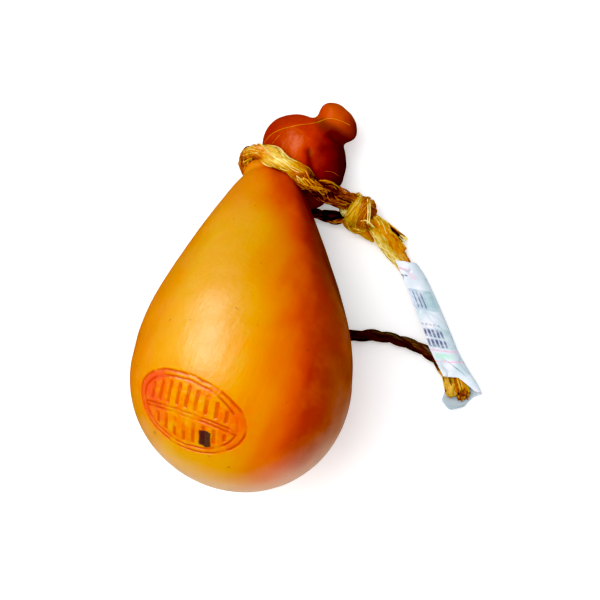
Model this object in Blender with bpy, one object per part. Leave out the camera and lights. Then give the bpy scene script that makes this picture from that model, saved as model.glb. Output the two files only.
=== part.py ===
"""A smoked scamorza lying on its side, with the straw cord and the paper label that it is hung by.

The cheese is one solid: a pear-shaped body, a neck bitten in by the cord, and a head that has
flopped over to one side, with a mushroom-shaped knob.  +Y runs from the round end to the head,
+Z is up and +X is the side where the knot, the cord and the label lie.  The surface that it
lies on is z = 0, and the origin is under the middle of the cheese, noose and knot.
"""

import math

import bmesh
import bpy
from mathutils import Matrix, Vector

MM = 0.001

# How the cheese lies: the body's axis drops towards the head by this angle.
AXIS_DROP = math.radians(18.0)
AXIS_YAW = math.radians(0.6)  # and it points this far to -X of +Y
BELLY_HEIGHT = 48.4 * MM  # centre of the belly above the table; it presses a small flat there
ORIGIN_SHIFT = Vector((-1.5, -45.9, 0.0)) * MM  # from under the belly's centre to the origin

# The body's outline along its own axis: distance from the belly's centre, radius.
BELLY_RADIUS = 46.0 * MM
SHOULDER_OUTLINE = (
    (14.0, 45.1),
    (28.0, 42.1),
    (42.0, 37.6),
    (56.0, 32.4),
    (70.0, 26.9),
    (84.0, 20.9),
    (94.5, 16.1),
    (100.0, 12.8),
    (103.5, 9.6),
    (108.0, 7.0),
)
ROUND_END_LEAN = 2.6 * MM  # the round end's pole stands this far to +X of the axis
BODY_SIDES = 52
ROUND_END_RINGS = 13
OUTLINE_STEP = 5.0 * MM
HEAD_END_CAP = 2.0 * MM  # the body's last ring closes to a point this far on, inside the head
TABLE_BLOCK = 0.4  # metres; larger than the cheese

# Neck, head and knob, as centres from the point under the belly's centre, with radii.
NECK_FROM = Vector((0.8, 96.0, 17.6)) * MM
NECK_TO = Vector((11.0, 111.0, 14.8)) * MM
NECK_RADIUS = 9.4 * MM
HEAD_LOBES = {
    "left": ((8.0, 115.6, 14.3), (14.7, 14.7, 14.5)),
    "upper": ((20.1, 113.0, 13.4), (11.0, 11.0, 12.4)),
    "middle": ((20.8, 109.0, 12.4), (11.0, 10.6, 11.0)),
    "lower": ((20.8, 105.6, 11.4), (10.6, 10.2, 9.4)),
}
STUB_FROM = Vector((17.5, 119.5, 14.6)) * MM
STUB_RADIUS = 8.4 * MM
KNOB_CENTRE = Vector((25.4, 129.0, 15.6)) * MM
KNOB_RADII = (6.6, 10.7, 9.2)  # along the stub, across it, and upwards
KNOB_TURN = math.radians(48.0)  # direction of the stub, from +X towards +Y

# The oval stamp pressed into the round end.
STAMP_CENTRE = Vector((-0.41, -0.50, 0.76)).normalized()  # direction from the belly's centre
STAMP_ALONG = Vector((0.945, -0.243, 0.218))
STAMP_HALF = (25.6 * MM, 16.2 * MM)
STAMP_INNER = 0.84  # size of the inner ring, as a share of the outer one
STAMP_LINE = 0.9 * MM
STAMP_STEPS = 44
STAMP_BAR_INSET = 3.0 * MM  # between the bar's ends and the inner ring
STAMP_BAR_STEPS = 12

# The cord: routes as points from under the belly's centre, chosen along its real run.
CORD_DIAMETER = 5.6 * MM
NOOSE_DIAMETER = 6.0 * MM
NOOSE_ROUTE = (
    (33.6, 95.2, 12.6),
    (27.0, 96.6, 18.6),
    (20.8, 97.0, 23.0),
    (14.7, 98.4, 26.8),
    (8.2, 100.8, 29.2),
    (1.2, 103.8, 29.6),
    (-6.0, 106.6, 26.8),
    (-11.2, 107.8, 21.8),
    (-13.1, 106.2, 15.6),
    (-11.4, 103.0, 8.8),
    (-5.4, 98.8, 4.3),
    (4.0, 94.0, 3.3),
    (14.6, 90.2, 3.3),
    (23.2, 88.2, 3.8),
    (32.4, 87.9, 5.6),
)
LABEL_CORD_ROUTE = (
    (47.4, 84.7, 6.0),
    (51.6, 80.6, 4.4),
    (55.4, 77.2, 3.5),
    (59.4, 73.6, 3.5),
    (63.2, 69.4, 3.7),
    (68.0, 63.0, 3.8),
    (73.5, 54.5, 3.8),
    (79.0, 45.1, 3.8),
    (84.4, 36.3, 3.8),
    (89.1, 29.2, 3.8),
    (93.4, 22.2, 3.8),
    (97.0, 14.6, 3.8),
)
RETURN_CORD_ROUTE = (
    (17.4, 84.6, 3.0),
    (18.8, 76.0, 3.0),
    (20.6, 67.6, 3.0),
    (23.0, 59.4, 3.0),
    (26.0, 51.2, 3.0),
    (30.0, 43.6, 3.0),
    (36.0, 37.4, 3.0),
    (43.6, 34.8, 3.0),
    (51.6, 36.0, 3.0),
    (58.6, 36.3, 3.0),
    (65.2, 35.2, 3.1),
    (72.0, 32.9, 3.3),
    (78.4, 29.2, 3.7),
    (83.4, 24.4, 3.8),
    (87.2, 18.8, 3.8),
    (90.0, 12.8, 3.8),
)
TAIL_ROUTE = (
    (49.7, 89.5, 7.1),
    (54.2, 87.6, 5.4),
    (58.8, 84.4, 3.6),
    (62.8, 81.0, 2.6),
)
TAIL_DIAMETER = 4.4 * MM
CURVE_PARTS = 24  # fine steps between two points of a route
CORD_STEP = 6.5 * MM
NOOSE_STEP = 4.0 * MM

# The knot beside the neck.
KNOT_CENTRE = Vector((41.1, 90.6, 8.2)) * MM
KNOT_TURN = math.radians(-37.0)  # direction of the pull through the knot, from +X
KNOT_CORE_RADII = (7.0, 6.0, 5.8)
KNOT_WRAPS = ((-2.7, 12.0), (2.8, -14.0))  # place along the pull, and tilt in degrees
KNOT_LOOP_CENTRE = Vector((37.6, 84.6, 4.6)) * MM  # the side of a turn that bulges out
KNOT_LOOP_RADII = (5.0, 3.9, 3.8)
WRAP_RADIUS = 4.4 * MM
WRAP_THICKNESS = 3.1 * MM

# The paper label, a strip folded round the cord and open on its inner side.
LABEL_MIDDLE = (
    (63.1, 70.8),
    (68.4, 63.1),
    (73.8, 53.5),
    (79.4, 43.2),
    (84.9, 33.2),
    (91.0, 23.6),
    (95.6, 16.4),
    (98.4, 10.6),
)
LABEL_HALF_WIDTH = ((0.0, 4.6), (0.3, 5.4), (0.7, 6.3), (0.85, 7.2), (1.0, 7.6))
LABEL_HALF_HEIGHT = 3.45 * MM
LABEL_LIFT = 3.8 * MM  # height of the label's middle above the table
LABEL_PAPER = 0.35 * MM
LABEL_TOP_END = 0.80  # where the upper sheet ends, as a share of the label's length
LABEL_FLAP_END = 0.97  # where the fold ends
LABEL_SLEEVE = 0.36  # share of the paper's width in each flat sheet; the rest is the fold
LABEL_CURL = 4.0 * MM  # the lower sheet's end turns this far towards the cheese
LABEL_RINGS = 20
LABEL_SIDES = 18

SMOKED_RIND = (0.80, 0.36, 0.03, 1.0)
STRAW = (0.52, 0.33, 0.09, 1.0)
PAPER = (0.84, 0.84, 0.88, 1.0)


def clear_scene():
    for obj in list(bpy.data.objects):
        bpy.data.objects.remove(obj, do_unlink=True)


def material(name, colour, roughness):
    made = bpy.data.materials.new(name)
    made.use_nodes = True
    shader = made.node_tree.nodes["Principled BSDF"]
    shader.inputs["Base Color"].default_value = colour
    shader.inputs["Roughness"].default_value = roughness
    shader.inputs["Metallic"].default_value = 0.0
    return made


def add_mesh(name, points, faces, finish):
    mesh = bpy.data.meshes.new(name)
    mesh.from_pydata([tuple(point) for point in points], [], faces)
    mesh.materials.append(finish)
    mesh.validate()
    mesh.shade_smooth()
    obj = bpy.data.objects.new(name, mesh)
    bpy.context.scene.collection.objects.link(obj)
    return obj


def smooth_points(route, step):
    """Points a step apart along the smooth curve through the route's own points."""
    ends = [2 * route[0] - route[1]] + list(route) + [2 * route[-1] - route[-2]]
    fine = []
    for before, start, stop, after in zip(ends, ends[1:], ends[2:], ends[3:]):
        for part in range(CURVE_PARTS):
            t = part / CURVE_PARTS
            fine.append(
                0.5
                * (
                    2 * start
                    + (stop - before) * t
                    + (2 * before - 5 * start + 4 * stop - after) * t**2
                    + (3 * start - before - 3 * stop + after) * t**3
                )
            )
    fine.append(route[-1].copy())
    along = [0.0]
    for here, there in zip(fine, fine[1:]):
        along.append(along[-1] + (there - here).length)
    count = max(2, round(along[-1] / step))
    spaced = []
    place = 0
    for number in range(count + 1):
        target = along[-1] * number / count
        while place < len(along) - 2 and along[place + 1] < target:
            place += 1
        share = (target - along[place]) / (along[place + 1] - along[place])
        spaced.append(fine[place].lerp(fine[place + 1], min(1.0, share)))
    return spaced


def route_points(route):
    return [Vector(point) * MM + ORIGIN_SHIFT for point in route]


def interpolate(table, x):
    """The value at x in a table of (x, value) pairs, by straight lines."""
    for (x0, y0), (x1, y1) in zip(table, table[1:]):
        if x <= x1:
            return y0 + (y1 - y0) * max(0.0, (x - x0) / (x1 - x0))
    return table[-1][1]


def body_axis(along):
    """The point on the body's axis this far from the belly's centre, towards the head."""
    lean = ROUND_END_LEAN * (min(along, 0.0) / BELLY_RADIUS) ** 2
    level = math.cos(AXIS_DROP)
    way = Vector((-math.sin(AXIS_YAW) * level, math.cos(AXIS_YAW) * level, -math.sin(AXIS_DROP)))
    return Vector((lean, 0.0, BELLY_HEIGHT)) + way * along + ORIGIN_SHIFT


def make_body(finish):
    """The pear: a half ball, then the shoulder's outline, turned about the dropping axis."""
    outline = []
    for ring in range(1, ROUND_END_RINGS + 1):
        angle = math.pi / 2 * ring / ROUND_END_RINGS
        outline.append((-BELLY_RADIUS * math.cos(angle), BELLY_RADIUS * math.sin(angle)))
    knots = [Vector((0.0, BELLY_RADIUS, 0.0))]
    knots += [Vector((along * MM, radius * MM, 0.0)) for along, radius in SHOULDER_OUTLINE]
    shoulder = smooth_points(knots, OUTLINE_STEP)
    outline += [(point.x, point.y) for point in shoulder[1:]]
    side = Vector((1.0, 0.0, 0.0))
    up = Vector((0.0, math.sin(AXIS_DROP), math.cos(AXIS_DROP)))
    points = [body_axis(-BELLY_RADIUS)]
    for along, radius in outline:
        for step in range(BODY_SIDES):
            turn = 2 * math.pi * step / BODY_SIDES
            points.append(
                body_axis(along) + radius * (math.cos(turn) * side + math.sin(turn) * up)
            )
    points.append(body_axis(outline[-1][0] + HEAD_END_CAP))
    return add_mesh("body", points, tube_faces(len(outline), BODY_SIDES), finish)


def tube_faces(rings, sides):
    """Faces of a closed skin: a first point, rings of points, and a last point."""
    last = rings * sides + 1
    faces = []
    for step in range(sides):
        faces.append((0, 1 + step, 1 + (step + 1) % sides))
    for ring in range(rings - 1):
        low = 1 + ring * sides
        high = low + sides
        for step in range(sides):
            after = (step + 1) % sides
            faces.append((low + step, high + step, high + after, low + after))
    high = 1 + (rings - 1) * sides
    for step in range(sides):
        faces.append((high + step, last, high + (step + 1) % sides))
    return faces


def ball(name, centre, radii, turn, finish, rings=14, sides=28):
    """An ellipsoid with its first radius turned from +X towards +Y."""
    mesh = bpy.data.meshes.new(name)
    shape = bmesh.new()
    bmesh.ops.create_uvsphere(shape, u_segments=sides, v_segments=rings, radius=1.0)
    size = Matrix.Diagonal((radii[0] * MM, radii[1] * MM, radii[2] * MM, 1.0))
    place = Matrix.Translation(centre + ORIGIN_SHIFT) @ Matrix.Rotation(turn, 4, "Z")
    bmesh.ops.transform(shape, matrix=place @ size, verts=shape.verts)
    shape.to_mesh(mesh)
    shape.free()
    mesh.materials.append(finish)
    mesh.shade_smooth()
    obj = bpy.data.objects.new(name, mesh)
    bpy.context.scene.collection.objects.link(obj)
    return obj


def bar(name, start, stop, radius, finish, sides=28):
    """A round bar between two points."""
    mesh = bpy.data.meshes.new(name)
    shape = bmesh.new()
    length = (stop - start).length
    bmesh.ops.create_cone(
        shape, cap_ends=True, segments=sides, radius1=radius, radius2=radius, depth=length
    )
    turn = (stop - start).to_track_quat("Z", "Y").to_matrix().to_4x4()
    place = Matrix.Translation((start + stop) / 2 + ORIGIN_SHIFT) @ turn
    bmesh.ops.transform(shape, matrix=place, verts=shape.verts)
    shape.to_mesh(mesh)
    shape.free()
    mesh.materials.append(finish)
    obj = bpy.data.objects.new(name, mesh)
    bpy.context.scene.collection.objects.link(obj)
    return obj


def torus(name, centre, turn, tilt, radius, thickness, finish, around=22, sides=10):
    """A ring whose axis points along the turn, leaned over by the tilt."""
    points = []
    faces = []
    place = Matrix.Translation(centre) @ Matrix.Rotation(turn, 4, "Z")
    place = place @ Matrix.Rotation(tilt, 4, "Y")
    for step in range(around):
        swing = 2 * math.pi * step / around
        out = Vector((0.0, math.cos(swing), math.sin(swing)))
        for side in range(sides):
            angle = 2 * math.pi * side / sides
            spot = out * (radius + thickness * math.cos(angle))
            spot.x = thickness * math.sin(angle)
            points.append(place @ spot)
            here = step * sides
            there = (step + 1) % around * sides
            after = (side + 1) % sides
            faces.append((here + side, there + side, there + after, here + after))
    return add_mesh(name, points, faces, finish)


def apply_boolean(obj, tools, operation):
    """Joins to an object, or cuts from it, every tool at once, and removes the tools."""
    group = bpy.data.collections.new("tools")
    bpy.context.scene.collection.children.link(group)
    for tool in tools:
        bpy.context.scene.collection.objects.unlink(tool)
        group.objects.link(tool)
    change = obj.modifiers.new("boolean", "BOOLEAN")
    change.operation = operation
    change.solver = "EXACT"
    change.operand_type = "COLLECTION"
    change.collection = group
    bpy.context.view_layer.update()
    depsgraph = bpy.context.evaluated_depsgraph_get()
    result = bpy.data.meshes.new_from_object(obj.evaluated_get(depsgraph))
    obj.modifiers.clear()
    obj.data = result
    for tool in tools:
        bpy.data.objects.remove(tool, do_unlink=True)
    bpy.data.collections.remove(group)


def table_block(finish):
    """The space under the table's top, which cuts the small flats that the cheese lies on."""
    mesh = bpy.data.meshes.new("under_table")
    shape = bmesh.new()
    bmesh.ops.create_cube(shape, size=TABLE_BLOCK)
    bmesh.ops.translate(shape, vec=(0.0, 0.0, -TABLE_BLOCK / 2), verts=shape.verts)
    shape.to_mesh(mesh)
    shape.free()
    mesh.materials.append(finish)
    obj = bpy.data.objects.new("under_table", mesh)
    bpy.context.scene.collection.objects.link(obj)
    return obj


def stamp_point(across, up):
    """The point on the round end at this distance along and across the stamp."""
    side = (STAMP_ALONG - STAMP_ALONG.dot(STAMP_CENTRE) * STAMP_CENTRE).normalized()
    top = STAMP_CENTRE.cross(side)
    bend = math.hypot(across, up) / BELLY_RADIUS
    if bend == 0.0:
        return body_axis(0.0) + BELLY_RADIUS * STAMP_CENTRE
    way = (across * side + up * top).normalized()
    direction = math.cos(bend) * STAMP_CENTRE + math.sin(bend) * way
    lean = ROUND_END_LEAN * max(0.0, -direction.y) ** 2
    return body_axis(0.0) + BELLY_RADIUS * direction + Vector((lean, 0.0, 0.0))


def stamp_line(name, points, closed, finish):
    """A round bar of the stamp's line width that follows points on the skin."""
    sides = 6
    centre = body_axis(0.0)
    rings = []
    last = len(points) - 1
    for number, point in enumerate(points):
        before = points[number - 1 if closed or number else 0]
        after = points[(number + 1) % len(points) if closed else min(number + 1, last)]
        forward = (after - before).normalized()
        outward = (point - centre).normalized()
        sideways = forward.cross(outward)
        for side in range(sides):
            angle = 2 * math.pi * side / sides
            rings.append(
                point + STAMP_LINE * (math.cos(angle) * outward + math.sin(angle) * sideways)
            )
    faces = []
    count = len(points)
    for ring in range(count if closed else count - 1):
        here = ring * sides
        there = (ring + 1) % count * sides
        for side in range(sides):
            after = (side + 1) % sides
            faces.append((here + side, here + after, there + after, there + side))
    if not closed:
        faces.append(tuple(range(sides - 1, -1, -1)))
        faces.append(tuple(range((count - 1) * sides, count * sides)))
    return add_mesh(name, rings, faces, finish)


def make_stamp(finish):
    """Two oval rings and the bar between their halves."""
    cutters = []
    for number, share in enumerate((1.0, STAMP_INNER)):
        ring = []
        for step in range(STAMP_STEPS):
            angle = 2 * math.pi * step / STAMP_STEPS
            ring.append(
                stamp_point(
                    share * STAMP_HALF[0] * math.cos(angle),
                    share * STAMP_HALF[1] * math.sin(angle),
                )
            )
        cutters.append(stamp_line(f"stamp_ring_{number}", ring, True, finish))
    reach = STAMP_INNER * STAMP_HALF[0] - STAMP_BAR_INSET
    places = [2 * step / STAMP_BAR_STEPS - 1.0 for step in range(STAMP_BAR_STEPS + 1)]
    bar_points = [stamp_point(reach * place, 0.0) for place in places]
    cutters.append(stamp_line("stamp_bar", bar_points, False, finish))
    return cutters


def make_cheese():
    rind = material("smoked_rind", SMOKED_RIND, 0.42)
    cheese = make_body(rind)
    cheese.name = "cheese"
    stub_way = Vector((math.cos(KNOB_TURN), math.sin(KNOB_TURN), 0.0))
    lumps = [bar("neck", NECK_FROM, NECK_TO, NECK_RADIUS, rind)]
    for name, (centre, radii) in HEAD_LOBES.items():
        lumps.append(ball(f"head_{name}", Vector(centre) * MM, radii, 0.0, rind))
    lumps.append(bar("stub", STUB_FROM, KNOB_CENTRE - 1.0 * MM * stub_way, STUB_RADIUS, rind))
    lumps.append(ball("knob", KNOB_CENTRE, KNOB_RADII, KNOB_TURN, rind))
    apply_boolean(cheese, lumps, "UNION")
    apply_boolean(cheese, [table_block(rind)] + make_stamp(rind), "DIFFERENCE")
    return cheese


def tube(name, points, diameter, finish):
    """A cord as a curve with a round bevel and filled ends."""
    curve = bpy.data.curves.new(name, "CURVE")
    curve.dimensions = "3D"
    curve.bevel_depth = diameter / 2
    curve.bevel_resolution = 2
    curve.use_fill_caps = True
    curve.render_resolution_u = 0
    spline = curve.splines.new("POLY")
    spline.points.add(len(points) - 1)
    for spot, point in zip(spline.points, points):
        spot.co = (*point, 1.0)
    curve.materials.append(finish)
    obj = bpy.data.objects.new(name, curve)
    bpy.context.scene.collection.objects.link(obj)
    return obj


def make_knot(finish):
    """A pulled-tight knot: a core with two turns of cord round it."""
    pull = Vector((math.cos(KNOT_TURN), math.sin(KNOT_TURN), 0.0))
    knot = ball("neck_knot", KNOT_CENTRE, KNOT_CORE_RADII, KNOT_TURN, finish, 12, 22)
    wraps = []
    for number, (along, tilt) in enumerate(KNOT_WRAPS):
        centre = KNOT_CENTRE + pull * along * MM + ORIGIN_SHIFT
        wraps.append(
            torus(
                f"wrap_{number}",
                centre,
                KNOT_TURN,
                math.radians(tilt),
                WRAP_RADIUS,
                WRAP_THICKNESS,
                finish,
            )
        )
    wraps.append(ball("loop", KNOT_LOOP_CENTRE, KNOT_LOOP_RADII, KNOT_TURN, finish, 10, 16))
    apply_boolean(knot, wraps, "UNION")
    return knot


def label_section(fold, half_width):
    """Across and up in the label's section: upper sheet, fold on the outer side, lower sheet."""
    flat = 2 * half_width - LABEL_HALF_HEIGHT
    if fold < LABEL_SLEEVE:
        return -half_width + flat * fold / LABEL_SLEEVE, LABEL_HALF_HEIGHT
    if fold > 1.0 - LABEL_SLEEVE:
        return -half_width + flat * (1.0 - fold) / LABEL_SLEEVE, -LABEL_HALF_HEIGHT
    turn = math.pi * (fold - LABEL_SLEEVE) / (1.0 - 2 * LABEL_SLEEVE)
    middle = half_width - LABEL_HALF_HEIGHT
    return middle + LABEL_HALF_HEIGHT * math.sin(turn), LABEL_HALF_HEIGHT * math.cos(turn)


def label_end(fold):
    """How far down the label the paper reaches at this place in its fold."""
    if fold < LABEL_SLEEVE:
        return LABEL_TOP_END + 0.03 * fold / LABEL_SLEEVE
    rise = min(1.0, (fold - LABEL_SLEEVE) / (0.5 - LABEL_SLEEVE))
    return LABEL_TOP_END + 0.03 + (LABEL_FLAP_END - LABEL_TOP_END - 0.03) * rise


def make_label(finish):
    """The folded paper strip: its section carried along the label's middle line."""
    middle = [Vector((x, y, 0.0)) * MM + ORIGIN_SHIFT for x, y in LABEL_MIDDLE]
    line = smooth_points(middle, 1.0 * MM)
    points = []
    for ring in range(LABEL_RINGS + 1):
        for side in range(LABEL_SIDES + 1):
            fold = side / LABEL_SIDES
            along = ring / LABEL_RINGS * label_end(fold)
            place = along * (len(line) - 1)
            spot = min(int(place), len(line) - 2)
            here = line[spot].lerp(line[spot + 1], place - spot)
            forward = (line[spot + 1] - line[spot]).normalized()
            outward = Vector((-forward.y, forward.x, 0.0))
            across, up = label_section(fold, interpolate(LABEL_HALF_WIDTH, along) * MM)
            tuck = max(0.0, fold - 0.5) * 2 * max(0.0, along - LABEL_TOP_END) / (1 - LABEL_TOP_END)
            across -= LABEL_CURL * tuck
            points.append(here + outward * across + Vector((0.0, 0.0, LABEL_LIFT + up)))
    faces = []
    for ring in range(LABEL_RINGS):
        for side in range(LABEL_SIDES):
            here = ring * (LABEL_SIDES + 1) + side
            there = here + LABEL_SIDES + 1
            faces.append((here, here + 1, there + 1, there))
    label = add_mesh("paper_label", points, faces, finish)
    thicken = label.modifiers.new("paper", "SOLIDIFY")
    thicken.thickness = LABEL_PAPER
    thicken.offset = 0.0
    return label


def make_cord():
    straw = material("straw_cord", STRAW, 0.8)
    noose = smooth_points(route_points(NOOSE_ROUTE), NOOSE_STEP)
    tube("neck_noose", noose, NOOSE_DIAMETER, straw)
    make_knot(material("straw_knot", STRAW, 0.8))
    for name, route, diameter in (
        ("knot_tail", TAIL_ROUTE, TAIL_DIAMETER),
        ("label_cord", LABEL_CORD_ROUTE, CORD_DIAMETER),
        ("return_cord", RETURN_CORD_ROUTE, CORD_DIAMETER),
    ):
        finish = material(name, STRAW, 0.8)
        tube(name, smooth_points(route_points(route), CORD_STEP), diameter, finish)


def main():
    clear_scene()
    make_cheese()
    make_cord()
    make_label(material("label_paper", PAPER, 0.55))


main()
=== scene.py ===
"""The look of a smoked scamorza that lies on its side with its straw cord and its folded label.

The floor's and the lights' sizes and places are in metres from the frame's origin, and lengths
inside a material are in metres too.  All other lengths are in millimetres, unless a comment says
otherwise.  Places are measured from the point under the belly's centre, as in the part's own
source, and PLACE_SHIFT takes them to the frame's origin.
"""

import math

import bmesh
import bpy
import numpy as np
from mathutils import Matrix, Vector
from mathutils.bvhtree import BVHTree


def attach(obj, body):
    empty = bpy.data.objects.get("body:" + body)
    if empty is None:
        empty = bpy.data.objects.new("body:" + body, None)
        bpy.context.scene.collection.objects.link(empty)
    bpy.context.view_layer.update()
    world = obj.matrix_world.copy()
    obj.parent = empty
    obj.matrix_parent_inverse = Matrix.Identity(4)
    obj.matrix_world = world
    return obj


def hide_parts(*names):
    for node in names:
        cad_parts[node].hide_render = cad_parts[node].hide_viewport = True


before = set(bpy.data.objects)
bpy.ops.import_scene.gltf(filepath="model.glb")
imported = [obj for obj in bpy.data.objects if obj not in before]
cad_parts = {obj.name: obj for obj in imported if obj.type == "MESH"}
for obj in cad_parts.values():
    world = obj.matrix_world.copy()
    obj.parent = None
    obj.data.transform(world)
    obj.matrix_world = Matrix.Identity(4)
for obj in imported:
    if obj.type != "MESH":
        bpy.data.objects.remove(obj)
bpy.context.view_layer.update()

MM = 0.001
PLACE_SHIFT = np.array((-1.5, -45.9, 0.0))

# ---------------------------------------------------------------- camera, floor and light
CAMERA_RISE = math.radians(76.2)  # above the table
CAMERA_TURN = math.radians(7.3)  # to the right of straight ahead
CAMERA_PLACE = (41.368, -130.693, 736.874)
CAMERA_SENSOR = 36.0
CAMERA_LENS = 101.45
CAMERA_REACH = (0.01, 20.0)  # the nearest and the farthest thing it shows, in metres

FLOOR_SIZE = 6.0
FLOOR_DROP = 0.0002
FLOOR_TONES = ((0.3, (0.85, 0.86, 0.88)), (0.7, (0.865, 0.875, 0.89)))
FLOOR_GLOW = 0.34
LIGHT_COLOUR = (1.0, 0.99, 0.97)
WORLD_STRENGTH = 0.62
WINDOW_PLACE = (-0.59, 0.39, 0.77)
WINDOW_SIZE = (0.42, 1.2)
WINDOW_WAY = (0.12, 0.86, -0.50)  # the way of its long side
WINDOW_POWER = 36.0
OVERHEAD_PLACE = (-0.44, -0.13, 1.10)
OVERHEAD_SIZE = (1.1, 1.1)
OVERHEAD_POWER = 14.0
BLACK_LEVEL = (0.012, 0.012, 0.03)

# ---------------------------------------------------------------- the cheese
AXIS_DROP = math.radians(18.0)
AXIS_YAW = math.radians(0.6)
BODY_WAY = np.array(  # the body's axis, from the round end to the head
    (
        -math.sin(AXIS_YAW) * math.cos(AXIS_DROP),
        math.cos(AXIS_YAW) * math.cos(AXIS_DROP),
        -math.sin(AXIS_DROP),
    )
)
BELLY_CENTRE = np.array((0.0, 0.0, 48.4)) + PLACE_SHIFT
BELLY_RADIUS = 46.0
SHOULDER_OUTLINE = (
    (0.0, 46.0), (14.0, 45.1), (28.0, 42.1), (42.0, 37.6), (56.0, 32.4), (70.0, 26.9),
    (84.0, 20.9), (94.5, 16.1), (100.0, 12.8), (103.5, 9.6), (108.0, 7.0),
)
OUTLINE_STEP = 0.5
ROUND_END_LEAN = 2.6
NECK_FROM = (0.8, 96.0, 17.6)
NECK_TO = (11.0, 111.0, 14.8)
NECK_RADIUS = 9.4
HEAD_LEAN = (0.42, -0.36)  # sideways for each mm up, for the head's main bulge
HEAD_LOBES = (
    ((7.6, 116.4, 14.3), (14.0, 14.9, 14.5)),
    ((20.1, 113.0, 13.4), (11.0, 11.0, 12.4)),
    ((20.8, 109.0, 12.4), (11.0, 10.6, 11.0)),
    ((20.8, 105.6, 11.4), (10.6, 10.2, 9.4)),
)
HEAD_SWELLING = ((12.2, 106.8, 17.0), (9.8, 10.0, 10.6))
NECK_SWELLINGS = (  # the rind that bulges against the noose on both sides
    ((-3.2, 98.6, 17.2), (10.5, 9.7, 9.8)),
    ((16.5, 97.5, 10.5), (9.5, 9.0, 9.0)),
)
CREASES = (  # seen from above: start, stop, depth and width
    ((14.4, 109.4), (16.8, 100.4), 0.8, 1.7),
    ((17.4, 127.0), (23.2, 120.6), 0.5, 1.8),
    ((23.2, 120.6), (31.0, 117.2), 1.1, 2.2),
)
STUB_FROM = (17.5, 119.5, 14.6)
STUB_RADIUS = 8.4
KNOB_CENTRE = (25.4, 129.0, 15.6)
KNOB_RADII = (6.6, 10.7, 9.2)
KNOB_TURN = math.radians(48.0)

CHEESE_VOXEL = 1.0
BODY_SIDES = 96
BODY_RING_STEP = 2.0
ROUND_END_RINGS = 30
BALL_RINGS = 32
BALL_SIDES = 64
BAR_SIDES = 48
HEAD_FROM = (86.0, 94.0)  # along the body's axis, where the shell's smoothing sets in
HEAD_SMOOTHING = 8

# Each table of lumps, waves, wear or drift gives the height, size and seed of its noises.
BODY_LUMPS = ((0.22, 26.0, 1), (0.07, 9.0, 2))
HEAD_LUMPS = ((0.30, 6.0, 3), (0.10, 2.6, 4))

# The stamp: an oval of two rings, a band across its middle, and a row of bars on each side of it.
STAMP_CENTRE = (-0.41, -0.50, 0.76)
STAMP_ALONG = (0.945, -0.243, 0.218)
STAMP_HALF = (25.6, 16.2)
STAMP_INNER = 0.87
STAMP_LINE = 0.6
STAMP_DEPTH = 0.42
STAMP_FIELD_DEPTH = 0.12
STAMP_REACH = 20.0  # along the body's axis, past which nothing is stamped
STAMP_CUTS = 3  # how often each edge under the stamp is cut for finer faces
STAMP_CUTS_REACH = 1.12  # as a share of the stamp's size
STAMP_BARS = 9
STAMP_BAR_STEP = 4.3
STAMP_BAR_WIDTH = 0.95
STAMP_BAR_SHARE = 0.85  # of the depth of the other lines
STAMP_BAR_FROM_BAND = 2.4
STAMP_BAR_FROM_RING = 1.8
STAMP_BAR_END = 0.8  # how far its round ends reach
STAMP_SHORTEST_BAR = 1.4
STAMP_BAND = (4.0, 0.4, 0.008)  # the middle band's crown across and up, and how it bends down
STAMP_BAND_HALF = 0.8
STAMP_WAVES = (((0.22, 4.5, 31), (0.08, 1.5, 32)), ((0.22, 4.5, 33), (0.08, 1.5, 34)))
STAMP_WEAR = ((1.0, 5.5, 37), (0.4, 1.6, 38))
MARK_CENTRE = (9.4, -8.0)  # the plain dark block on the stamp
MARK_HALF = (2.3, 3.4)

# The rind: how its fine wrinkles lean and are drawn out, its gloss, and its colours, which run
# from the left flank (0) over the top (0.38) to the right flank, across the head and the knob.
# Towards the right flank and the head's and knob's right side the tones grow redder and darker,
# partly as smoked colour and partly as painted shade, as the light falls from the left; the
# lighter step at 0.78 is painted reflected light along the right edge, and the darkest tones,
# near the neck's right side, are painted shadow.
GRAIN_SLANT = math.radians(-18.0)
GRAIN_STRETCH = (1.0, 0.14, 0.5)
STREAK_STRETCH = (1.0, 0.16, 0.6)
BODY_ROUGHNESS = (0.39, 0.47)
BODY_SPECULAR = 0.25
BODY_GLOSS_TINT = (1.0, 1.0, 1.0, 1.0)
HEAD_ROUGHNESS = (0.38, 0.46)
HEAD_SPECULAR = 0.16
HEAD_GLOSS_TINT = (1.0, 0.70, 0.40, 1.0)
FLANK_RANGE = (-1.0, 1.6)  # shares of the body's radius to the right, at tones 0 and 1
HEAD_RANGE = (-8.0, 42.0)  # places across the head at tones 0 and 1
BODY_TONES = (
    (0.0, (0.62, 0.16, 0.001)), (0.19, (0.64, 0.31, 0.004)), (0.38, (0.64, 0.28, 0.003)),
    (0.48, (0.66, 0.185, 0.001)), (0.56, (0.64, 0.085, 0.001)), (0.60, (0.56, 0.046, 0.001)),
    (0.64, (0.42, 0.020, 0.001)), (0.71, (0.33, 0.024, 0.001)), (0.78, (0.38, 0.060, 0.002)),
    (0.87, (0.24, 0.008, 0.001)), (1.0, (0.10, 0.001, 0.001)),
)
HEAD_TONES = (
    (0.05, (0.35, 0.012, 0.001)), (0.45, (0.48, 0.026, 0.001)), (0.52, (0.40, 0.018, 0.001)),
    (0.62, (0.16, 0.005, 0.001)), (0.72, (0.07, 0.003, 0.001)), (1.0, (0.05, 0.002, 0.001)),
)
KNOB_TONES = (
    (0.52, (0.48, 0.034, 0.001)), (0.60, (0.49, 0.046, 0.001)), (0.70, (0.45, 0.048, 0.001)),
    (0.78, (0.40, 0.032, 0.001)), (0.87, (0.18, 0.007, 0.001)),
)
NOOK_SHADE_COLOUR = (0.035, 0.002, 0.001, 1.0)  # painted shade on the rind between the knob, the head and the noose
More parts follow.
